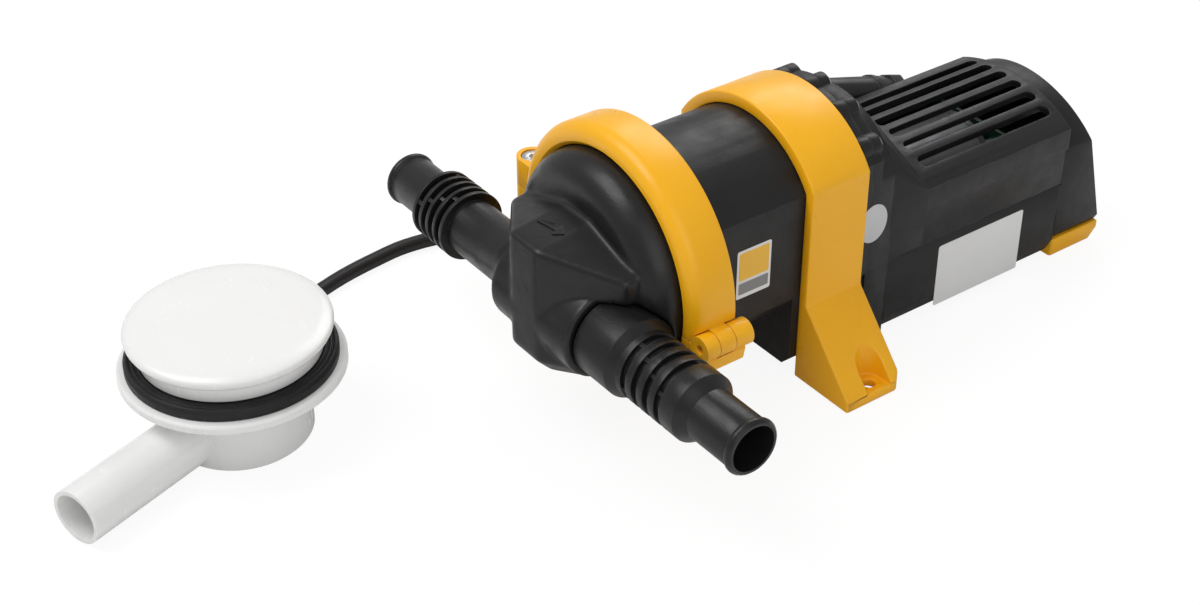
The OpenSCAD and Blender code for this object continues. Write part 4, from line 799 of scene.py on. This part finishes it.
@dataclass(frozen=True)
class LeadCoil:
    """The sizes of the lead and of the coil that its spare length is wound into.

    Args:
        lead_d: The lead's diameter.
        low_z: The height of its middle where it lies on the floor.
        x: The place of the coil's middle.
        y: The same, along the pump.
        radius: The radius of the outer turns.
        layer_turns: The whole turns of each layer.
        last_share: The share of a turn that follows them.
        pitch: The distance between two turns of a layer.
        rise: The height of the upper layer over the lower one.
        climb_turns: The turns that the lead takes to climb from one layer to the other.
        start: Where the coil starts, in degrees.
        rings: Steps in each turn.
    """

    lead_d: float = 6
    low_z: float = 3.1
    x: float = -80
    y: float = 58
    radius: float = 42
    layer_turns: int = 3
    last_share: float = 1 / 6
    pitch: float = 7.2
    rise: float = 6.8
    climb_turns: float = 0.5
    start: float = -60
    rings: int = 24

    @property
    def top(self) -> float:
        """The height of the coil's top."""
        return self.low_z + self.rise + self.lead_d / 2

    @property
    def inner_radius(self) -> float:
        """The radius of the coil's opening."""
        return self.radius - self.pitch * (self.layer_turns + self.last_share / 2) - self.lead_d / 2

    @property
    def outer_radius(self) -> float:
        """The radius of the coil's outside."""
        return self.radius + self.lead_d / 2

    def points(self) -> list[Vector]:
        """Winds the coil: two layers, spiralling in and out again.

        Returns:
            The points of its centreline in millimetres.
        """
        total = 2 * self.layer_turns + self.last_share
        half = total / 2
        steps = round(total * self.rings)
        points = []
        for i in range(steps + 1):
            t = total * i / steps
            radius = self.radius - self.pitch * (half - abs(t - half))
            climb = min(max((t - half) / self.climb_turns + 0.5, 0.0), 1.0)
            a = math.radians(self.start + 360 * t)
            points.append(Vector((self.x + radius * math.cos(a), self.y + radius * math.sin(a),
                                  self.low_z + self.rise * climb * climb * (3 - 2 * climb))))
        return points


@dataclass
class SensorLead:
    """The sensor lead from the pump's gland, through its coil, to the drain.

    Args:
        maker: The piece maker.
        coil: The lead's coil.
        route_steps: Steps between two points of a route.
        section_steps: Steps on each quarter of its round section.
    """

    maker: Maker
    coil: LeadCoil
    route_steps: int = 4
    section_steps: int = 5

    def build(self) -> None:
        """Lays the lead as one cord."""
        route = smooth_route(PUMP_ROUTE, self.route_steps)
        route += reversed(self.coil.points())
        route += smooth_route(DRAIN_ROUTE, self.route_steps)
        curve = bpy.data.curves.new("sensor_lead", "CURVE")
        curve.dimensions = "3D"
        curve.bevel_depth = self.coil.lead_d / 2 * MM
        curve.bevel_resolution = self.section_steps
        curve.use_fill_caps = True
        spline = curve.splines.new("POLY")
        spline.points.add(len(route) - 1)
        for point, place in zip(spline.points, route):
            point.co = (*(place * MM), 1.0)
        spline.use_smooth = True
        lead = bpy.data.objects.new("sensor_lead", curve)
        bpy.context.scene.collection.objects.link(lead)
        curve.materials.append(self.maker.paint.get(SHEATH))
        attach(lead, Body.ROOT.value)
        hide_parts("lead_pump_stretch", "lead_coil", "lead_drain_stretch")


def loop_band(outer: Sequence[tuple[float, float]], inner: Sequence[tuple[float, float]], width: float
              ) -> bmesh.types.BMesh:
    """Makes a closed band between two loops that have the same number of points.

    Args:
        outer: The outer loop, along X and Z, in millimetres.
        inner: The inner loop.
        width: The band's width along Y.

    Returns:
        The band, in metres, with its middle plane at Y 0.
    """
    form = bmesh.new()
    rings = [[form.verts.new(mm(x, side * width / 2, z)) for x, z in loop]
             for loop, side in ((outer, -1), (outer, 1), (inner, 1), (inner, -1))]
    count = len(outer)
    for a, b in zip(rings, rings[1:] + rings[:1]):
        for i in range(count):
            form.faces.new((a[i], a[(i + 1) % count], b[(i + 1) % count], b[i]))
    return form


@dataclass
class LeadHolders:
    """The straps round the lead's coil and the tapered reliefs at its ends.

    Args:
        maker: The piece maker.
        coil: The lead's coil.
        strap_w: A strap's width.
        strap_t: Its thickness.
        strap_turns: The straps' places round the coil, in degrees.
        strap_slack: How much longer a strap is than the coil is wide.
        strap_lift: How far its loop stands over the coil's middle.
        inner_corner: The radius of the corners inside its loop.
        outer_corner: The radius of the corners outside.
        buckle: A buckle's length, height and corner radius.
        buckle_over: How much wider than its strap it is.
        buckle_shift: How far it lies from the middle of the coil's section.
        tongue: The length and corner radius of the strap's loose end.
        tongue_under: How much narrower than the strap it is.
        tongue_span: The heights of its underside and its top over the coil.
        tongue_shift: How far it lies from the middle of the coil's section.
        relief_l: A relief's length.
        relief_r: The radius of its thick end.
        relief_gap: The gap between the lead and the relief.
        relief_lip: The thickness of its thin end.
        relief_mouth: The thickness of the mouth beyond the last groove.
        groove_count: The number of its grooves.
        groove_depth: Their depth.
        groove_places: Where a groove's edges and floor lie, from its middle.
    """

    maker: Maker
    coil: LeadCoil
    strap_w: float = 5.0
    strap_t: float = 0.7
    strap_turns: tuple[float, float] = (95.0, 205.0)
    strap_slack: float = 0.3
    strap_lift: float = 0.06
    inner_corner: float = 3.4
    outer_corner: float = 4.0
    buckle: tuple[float, float, float] = (8.0, 2.6, 1.2)
    buckle_over: float = 2.4
    buckle_shift: float = 4
    tongue: tuple[float, float] = (13.0, 1.0)
    tongue_under: float = 1.0
    tongue_span: tuple[float, float] = (1.4, 2.1)
    tongue_shift: float = -2
    relief_l: float = 9.0
    relief_r: float = 4.9
    relief_gap: float = 0.05
    relief_lip: float = 0.45
    relief_mouth: float = 0.4
    groove_count: int = 6
    groove_depth: float = 0.28
    groove_places: tuple[float, float, float, float] = (-0.35, -0.15, 0.2, 0.4)

    def strap(self, name: str, turn: float) -> None:
        """Puts one strap with its buckle round the coil.

        Args:
            name: The piece's name.
            turn: Its place round the coil, in degrees.
        """
        low, high, top = self.coil.inner_radius, self.coil.outer_radius, self.coil.top
        middle, half = (low + high) / 2, (high - low) / 2
        inner = [(x + middle, y + top / 2 + self.strap_lift)
                 for x, y in rounded_rectangle(2 * half + self.strap_slack, top, self.inner_corner)]
        outer = [(x + middle, max(y + top / 2 + self.strap_t / 2, 0.0))
                 for x, y in rounded_rectangle(2 * (half + self.strap_t) + self.strap_slack,
                                               top + self.strap_t, self.outer_corner)]
        form = loop_band(outer, inner, self.strap_w)
        length, height, corner = self.buckle
        buckle = prism(rounded_rectangle(length, self.strap_w + self.buckle_over, corner), top, top + height)
        buckle.transform(Matrix.Translation(mm(middle + self.buckle_shift, 0, 0)))
        absorb(form, buckle)
        length, corner = self.tongue
        tongue = prism(rounded_rectangle(length, self.strap_w - self.tongue_under, corner),
                       top + self.tongue_span[0], top + self.tongue_span[1])
        tongue.transform(Matrix.Translation(mm(middle + self.tongue_shift, 0, 0)))
        absorb(form, tongue)
        form.transform(Matrix.Translation(mm(self.coil.x, self.coil.y, 0))
                       @ Matrix.Rotation(math.radians(turn), 4, "Z"))
        self.maker.from_bmesh(name, form, RUBBER, Body.ROOT, smooth=False)

    def relief(self, name: str, start: Vector, way: Vector) -> None:
        """Puts a tapered, grooved relief round the lead where it leaves a gland.

        Args:
            name: The piece's name.
            start: The place of its thick end, in millimetres.
            way: The direction that the lead leaves in.
        """
        bore = self.coil.lead_d / 2 + self.relief_gap
        edge, floor, floor_end, edge_end = self.groove_places
        profile = [(bore, 0.0), (self.relief_r, 0.0)]
        for i in range(self.groove_count):
            share = (i + 0.5) / self.groove_count
            radius = self.relief_r + (bore + self.relief_lip - self.relief_r) * share
            place = self.relief_l * share
            profile += [(radius, place + edge), (radius - self.groove_depth, place + floor),
                        (radius - self.groove_depth, place + floor_end), (radius, place + edge_end)]
        profile += [(bore + self.relief_mouth, self.relief_l), (bore, self.relief_l), (bore, 0.0)]
        form = spun(profile)
        form.transform(Matrix.Translation(start * MM) @ way.to_track_quat("Z", "Y").to_matrix().to_4x4())
        self.maker.from_bmesh(name, form, RUBBER, Body.ROOT)

    def build(self) -> None:
        """Makes both straps and both reliefs."""
        for i, turn in enumerate(self.strap_turns):
            self.strap(f"coil_strap_{i + 1}", turn)
        first, second = Vector(PUMP_ROUTE[0]), Vector(PUMP_ROUTE[1])
        self.relief("gland_relief", first, second - first)
        last, before = Vector(DRAIN_ROUTE[-1]), Vector(DRAIN_ROUTE[-2])
        self.relief("drain_relief", last, before - last)


# Camera, floor and light

@dataclass(frozen=True)
class CameraSetup:
    """Where the photograph was taken from.

    Args:
        place: The camera's place in millimetres.
        yaw: Its turn from +Y towards +X, in degrees.
        pitch: Its fall below the horizon, in degrees.
        roll: Its roll, in degrees.
        focal: Its focal length in pixels of the photograph.
        width: The photograph's width in pixels.
        sensor: The width of the camera's sensor in millimetres.
        near: The nearest distance that it sees, in metres.
        far: The furthest.
    """

    place: tuple[float, float, float] = (477.3, -430.2, 451.4)
    yaw: float = -53.79
    pitch: float = 34.75
    roll: float = 0.11
    focal: float = 2025.4
    width: float = 1200.0
    sensor: float = 36.0
    near: float = 0.01
    far: float = 20.0

    def build(self) -> bpy.types.Object:
        """Makes the camera.

        Returns:
            The camera object.
        """
        a, p, r = (math.radians(v) for v in (self.yaw, self.pitch, self.roll))
        forward = Vector((math.sin(a) * math.cos(p), math.cos(a) * math.cos(p), -math.sin(p)))
        right = Vector((math.cos(a), -math.sin(a), 0.0))
        down = forward.cross(right)
        x = right * math.cos(r) + down * math.sin(r)
        y = right * math.sin(r) - down * math.cos(r)
        data = bpy.data.cameras.new("camera")
        data.sensor_width = self.sensor
        data.lens = self.focal / self.width * data.sensor_width
        data.clip_start = self.near
        data.clip_end = self.far
        camera = bpy.data.objects.new("camera", data)
        turn = Matrix((x, y, -forward)).transposed().to_4x4()
        turn.translation = mm(*self.place)
        camera.matrix_world = turn
        bpy.context.scene.collection.objects.link(camera)
        bpy.context.scene.camera = camera
        LOG.info("camera placed")
        return camera


@dataclass(frozen=True)
class Lamp:
    """A soft square lamp.

    Args:
        name: Its name.
        place: Its place in millimetres.
        target: The point that it faces, in millimetres.
        size: Its side in millimetres.
        power: Its power in watts.
    """

    name: str
    place: tuple[float, float, float]
    target: tuple[float, float, float]
    size: float
    power: float

    def build(self) -> None:
        """Hangs the lamp."""
        data = bpy.data.lights.new(self.name, "AREA")
        data.shape = "SQUARE"
        data.size = self.size * MM
        data.energy = self.power
        lamp = bpy.data.objects.new(self.name, data)
        lamp.location = mm(*self.place)
        lamp.rotation_euler = (mm(*self.target) - mm(*self.place)).to_track_quat("-Z", "Y").to_euler()
        bpy.context.scene.collection.objects.link(lamp)


LAMPS = (Lamp("key", (-250, -520, 900), (0, -60, 30), 620, 4.9),
         Lamp("fill", (760, -260, 520), (0, -20, 40), 700, 1.5),
         Lamp("rim", (-420, 520, 640), (0, 20, 50), 520, 2.4))


@dataclass
class Studio:
    """The plain white floor and the soft lights.

    Args:
        floor_half: Half the floor's side in metres.
        floor_cells: The cells along its side.
        floor_drop: How far it lies under the part, in millimetres.
        floor_white: How white it is to the light.
        floor_roughness: Its roughness.
        glow: How bright it looks to the camera.
        glow_share: The share of that in what the camera sees of it.
        sky: The strength of the light from all round.
    """

    floor_half: float = 6.0
    floor_cells: int = 8
    floor_drop: float = 0.2
    floor_white: float = 0.82
    floor_roughness: float = 0.9
    glow: float = 1.05
    glow_share: float = 0.86
    sky: float = 0.48

    def build(self) -> None:
        """Makes the floor, the sky and the lamps."""
        self._lay_floor()
        self._light_sky()
        for lamp in LAMPS:
            lamp.build()
        bpy.context.scene.view_settings.view_transform = "Standard"

    def _lay_floor(self) -> None:
        """Makes the floor, which looks white and takes only a faint shadow."""
        form = bmesh.new()
        bmesh.ops.create_grid(form, x_segments=self.floor_cells, y_segments=self.floor_cells,
                              size=self.floor_half)
        mesh = bpy.data.meshes.new("floor")
        form.to_mesh(mesh)
        form.free()
        floor = bpy.data.objects.new("floor", mesh)
        floor.location.z = -self.floor_drop * MM
        bpy.context.scene.collection.objects.link(floor)
        mesh.materials.append(self._floor_material())

    def _floor_material(self) -> bpy.types.Material:
        """Makes a matt white that glows to the camera.

        Returns:
            The material.
        """
        material = bpy.data.materials.new("studio_floor")
        material.use_nodes = True
        nodes, links = material.node_tree.nodes, material.node_tree.links
        paper = nodes["Principled BSDF"]
        paper.inputs["Base Color"].default_value = (self.floor_white, self.floor_white, self.floor_white, 1.0)
        paper.inputs["Roughness"].default_value = self.floor_roughness
        glow = nodes.new("ShaderNodeEmission")
        glow.inputs["Color"].default_value = (1.0, 1.0, 1.0, 1.0)
        glow.inputs["Strength"].default_value = self.glow
        path = nodes.new("ShaderNodeLightPath")
        seen = nodes.new("ShaderNodeMath")
        seen.operation = "MAXIMUM"
        links.new(path.outputs["Is Camera Ray"], seen.inputs[0])
        links.new(path.outputs["Is Transmission Ray"], seen.inputs[1])
        share = nodes.new("ShaderNodeMath")
        share.operation = "MULTIPLY"
        share.inputs[1].default_value = self.glow_share
        links.new(seen.outputs[0], share.inputs[0])
        mix = nodes.new("ShaderNodeMixShader")
        links.new(share.outputs[0], mix.inputs["Fac"])
        links.new(paper.outputs["BSDF"], mix.inputs[1])
        links.new(glow.outputs["Emission"], mix.inputs[2])
        links.new(mix.outputs["Shader"], nodes["Material Output"].inputs["Surface"])
        return material

    def _light_sky(self) -> None:
        """Makes the even light from all round."""
        world = bpy.data.worlds.new("studio")
        world.use_nodes = True
        back = world.node_tree.nodes["Background"]
        back.inputs["Color"].default_value = (1.0, 1.0, 1.0, 1.0)
        back.inputs["Strength"].default_value = self.sky
        bpy.context.scene.world = world


# Pieces laid over the solids

@dataclass
class Labels:
    """The stickers on the pump's near side, with nothing written on them.

    Args:
        maker: The piece maker.
        film: The thickness of a sticker.
        barrel_x: The place of the barrel's flat side.
        label_size: The width, height and corner radius of the white label on the lower motor cover.
        label_place: The place of its middle along the pump and up.
        sticker_size: The width, height and corner radius of the barrel's sticker.
        sticker_place: The place of its middle along the pump and up.
        band_width: The width of the sticker's two colour bands.
        band_corner: The radius of their corners.
        amber_height: The height of the amber band.
        amber_up: How far its middle lies over the sticker's middle.
        grey_height: The height of the grey band.
        grey_up: How far its middle lies over the sticker's middle.
        oval_size: The width and height of the oval on the gear cover.
        oval_place: The place of its middle along the pump and up.
    """

    maker: Maker
    film: float = 0.12
    barrel_x: float = 33.4
    label_size: tuple[float, float, float] = (45.3, 27.3, 1.0)
    label_place: tuple[float, float] = (76.65, 16.65)
    sticker_size: tuple[float, float, float] = (15.4, 20.0, 0.8)
    sticker_place: tuple[float, float] = (-38.45, 56.25)
    band_width: float = 13.4
    band_corner: float = 0.5
    amber_height: float = 11.4
    amber_up: float = 3.2
    grey_height: float = 4.6
    grey_up: float = -6.0
    oval_size: tuple[float, float] = (13.4, 16.0)
    oval_place: tuple[float, float] = (17.45, 54.75)

    def panel(self, name: str, outline: list[tuple[float, float]], finish: Finish, origin: Vector,
              lift: float = 0.0) -> None:
        """Lays a thin panel on a side face that looks along +X.

        Args:
            name: The piece's name.
            outline: Its outline in millimetres, along Y and Z.
            finish: Its finish.
            origin: Its middle on the face, in metres.
            lift: How far its underside stands off the face, in millimetres.
        """
        form = prism(outline, lift, lift + self.film)
        form.transform(placed(origin, Vector((0, 1, 0)), Vector((0, 0, 1))))
        self.maker.from_bmesh(name, form, finish, Body.ROOT, smooth=False)

    def build(self) -> None:
        """Makes the blank label, the two-colour sticker and the bare oval."""
        cover_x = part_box("motor_cover_lower")[1].x / MM
        self.panel("side_label", rounded_rectangle(*self.label_size), PAPER, mm(cover_x, *self.label_place))
        middle = mm(self.barrel_x, *self.sticker_place)
        self.panel("square_sticker", rounded_rectangle(*self.sticker_size), PAPER, middle)
        for name, finish, height, up in (("sticker_amber_band", AMBER, self.amber_height, self.amber_up),
                                         ("sticker_grey_band", GREY, self.grey_height, self.grey_up)):
            self.panel(name, rounded_rectangle(self.band_width, height, self.band_corner), finish,
                       middle + mm(0, 0, up), self.film)
        gear_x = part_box("gear_cover")[1].x / MM
        self.panel("oval_sticker", ellipse(*self.oval_size), FOIL, mm(gear_x, *self.oval_place))


@dataclass
class FlowArrow:
    """The raised arrow on the head that shows the water's way.

    Args:
        maker: The piece maker.
        length: Its length.
        head_l: The length of its head.
        head_w: The width of its head.
        stem_w: The width of its stem.
        above: A point over its middle, clear of the head housing.
        across: The direction that it points in.
        up: The direction across it.
        lift: Its height over the surface.
        sunk: How far it goes under the surface.
        step: The longest edge that isn't divided to follow the surface.
        cuts: How many times a longer edge is divided.
    """

    maker: Maker
    length: float = 13.0
    head_l: float = 3.6
    head_w: float = 5.4
    stem_w: float = 0.9
    above: tuple[float, float, float] = (0.4, -101.5, 95)
    across: tuple[float, float, float] = (1, 0.15, 0)
    up: tuple[float, float, float] = (-0.15, 1, 0)
    lift: float = 0.5
    sunk: float = 0.3
    step: float = 1.2
    cuts: int = 3

    def build(self) -> None:
        """Raises the arrow on the head housing's surface."""
        surface = Surface("head_housing")
        seat = placed(mm(*self.above), Vector(self.across), Vector(self.up))
        way = -(seat.to_3x3() @ Vector((0, 0, 1)))
        form = prism(arrow(self.length, self.head_l, self.head_w, self.stem_w), 0.0, 1.0)
        bmesh.ops.triangulate(form, faces=[f for f in form.faces if len(f.verts) > 4])
        bmesh.ops.subdivide_edges(form, edges=[e for e in form.edges if e.calc_length() > self.step * MM],
                                  cuts=self.cuts, use_grid_fill=True)
        for vert in form.verts:
            start = seat @ Vector((vert.co.x, vert.co.y, 0.0))
            rise = self.lift if vert.co.z > 0.5 * MM else -self.sunk
            vert.co = surface.hit(start, way) - way * (rise * MM)
        self.maker.from_bmesh("snout_arrow", form, HEAD, Body.HEAD, smooth=False)


def cut(body: bmesh.types.BMesh, cutter: bmesh.types.BMesh) -> bmesh.types.BMesh:
    """Cuts one form out of another.

    Args:
        body: The form that is cut, which is freed.
        cutter: The form that is taken away, which is freed.

    Returns:
        What is left.
    """
    things = []
    for label, form in (("cut_body", body), ("cut_tool", cutter)):
        mesh = bpy.data.meshes.new(label)
        form.to_mesh(mesh)
        form.free()
        thing = bpy.data.objects.new(label, mesh)
        bpy.context.scene.collection.objects.link(thing)
        things.append(thing)
    work = things[0].modifiers.new("cut", "BOOLEAN")
    work.operation = "DIFFERENCE"
    work.object = things[1]
    work.solver = "EXACT"
    ready = things[0].evaluated_get(bpy.context.evaluated_depsgraph_get())
    result = bmesh.new()
    result.from_mesh(ready.to_mesh())
    for thing in things:
        mesh = thing.data
        bpy.data.objects.remove(thing)
        bpy.data.meshes.remove(mesh)
    return result


@dataclass
class FlangeScrews:
    """The pan-head screws of the flange behind the saddle.

    Args:
        maker: The piece maker.
        head_r: The radius of a head.
        head_t: Its height.
        rim_share: The share of that height at its rim.
        crown_steps: Steps from its crown to its rim.
        shank_r: The radius of a shank.
        shank_l: Its length.
        recess_l: How far an arm of the cross recess reaches.
        recess_w: Half the width of an arm.
        recess_share: The height of its floor as a share of the head's.
        axis_z: The height of the pump's axis.
        circle: The radius of the circle that the screws stand on.
        spread: The angle from the top to the last lug, in degrees.
        lug_count: The number of lugs over the flange's top.
        lug_back: The place of the lugs' rear faces along the pump.
        inner_angle: The angle from the bottom to each screw inside, in degrees.
        inner_back: The place of those screws' seats along the pump.
        turn: How far each screw is turned on from the one before, in degrees.
    """

    maker: Maker
    head_r: float = 2.8
    head_t: float = 2.2
    rim_share: float = 0.55
    crown_steps: int = 6
    shank_r: float = 1.5
    shank_l: float = 4.0
    recess_l: float = 1.5
    recess_w: float = 0.32
    recess_share: float = 0.5
    axis_z: float = 57
    circle: float = 39.8
    spread: float = 46
    lug_count: int = 5
    lug_back: float = 20.1
    inner_angle: float = 40
    inner_back: float = 22.2
    turn: float = 37

    def head(self) -> bmesh.types.BMesh:
        """Makes one pan head with a cross recess, its seat at the origin and its crown along +Z.

        Returns:
            The head.
        """
        crown = []
        for a in (math.radians(90 * i / self.crown_steps) for i in range(self.crown_steps + 1)):
            height = self.head_t * (self.rim_share + (1 - self.rim_share) * math.cos(a))
            crown.append((self.head_r * math.sin(a), height))
        profile = [(0, -self.shank_l), (self.shank_r, -self.shank_l), (self.shank_r, 0), (self.head_r, 0),
                   *reversed(crown[1:])]
        body = spun([*profile, (0, crown[0][1])])
        cross = []
        far, side = self.recess_l, self.recess_w
        arm = ((far, -side), (far, side), (side, side))
        for a in (math.radians(90 * i) for i in range(4)):
            cross += [(x * math.cos(a) - y * math.sin(a), x * math.sin(a) + y * math.cos(a)) for x, y in arm]
        cutter = prism(cross, self.head_t * self.recess_share, self.head_t * 2)
        bmesh.ops.recalc_face_normals(cutter, faces=cutter.faces)
        bmesh.ops.recalc_face_normals(body, faces=body.faces)
        return cut(body, cutter)

    def places(self) -> list[tuple[float, float]]:
        """Lists the screws' places.

        Returns:
            The angle of each on the circle, in degrees, and the place of its seat along the pump.
        """
        gap = 2 * self.spread / (self.lug_count - 1)
        lugs = [(90 - self.spread + gap * i, self.lug_back) for i in range(self.lug_count)]
        return lugs + [(270 + side * self.inner_angle, self.inner_back) for side in (-1, 1)]

    def build(self) -> None:
        """Stands a screw at every hole of the flange."""
        whole = bmesh.new()
        for i, (angle, y) in enumerate(self.places()):
            one = self.head()
            a = math.radians(angle)
            seat = mm(self.circle * math.cos(a), y, self.axis_z + self.circle * math.sin(a))
            one.transform(Matrix.Translation(seat) @ Matrix.Rotation(math.radians(-90), 4, "X")
                          @ Matrix.Rotation(math.radians(self.turn * i), 4, "Z"))
            absorb(whole, one)
        screws = self.maker.from_bmesh("flange_pan_screws", whole, STEEL, Body.ROOT)
        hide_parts("flange_screws")


def main() -> None:
    """Builds the whole scene."""
    CameraSetup().build()
    maker = Maker(Paintbox())
    coil = LeadCoil()
    SensorLead(maker, coil).build()
    LeadHolders(maker, coil).build()
    Mouldings(maker.paint).build()
    Labels(maker).build()
    FlowArrow(maker).build()
    FlangeScrews(maker).build()
    Studio().build()
    LOG.info("%d pieces made", maker.count)


if __name__ == "__main__":
    main()
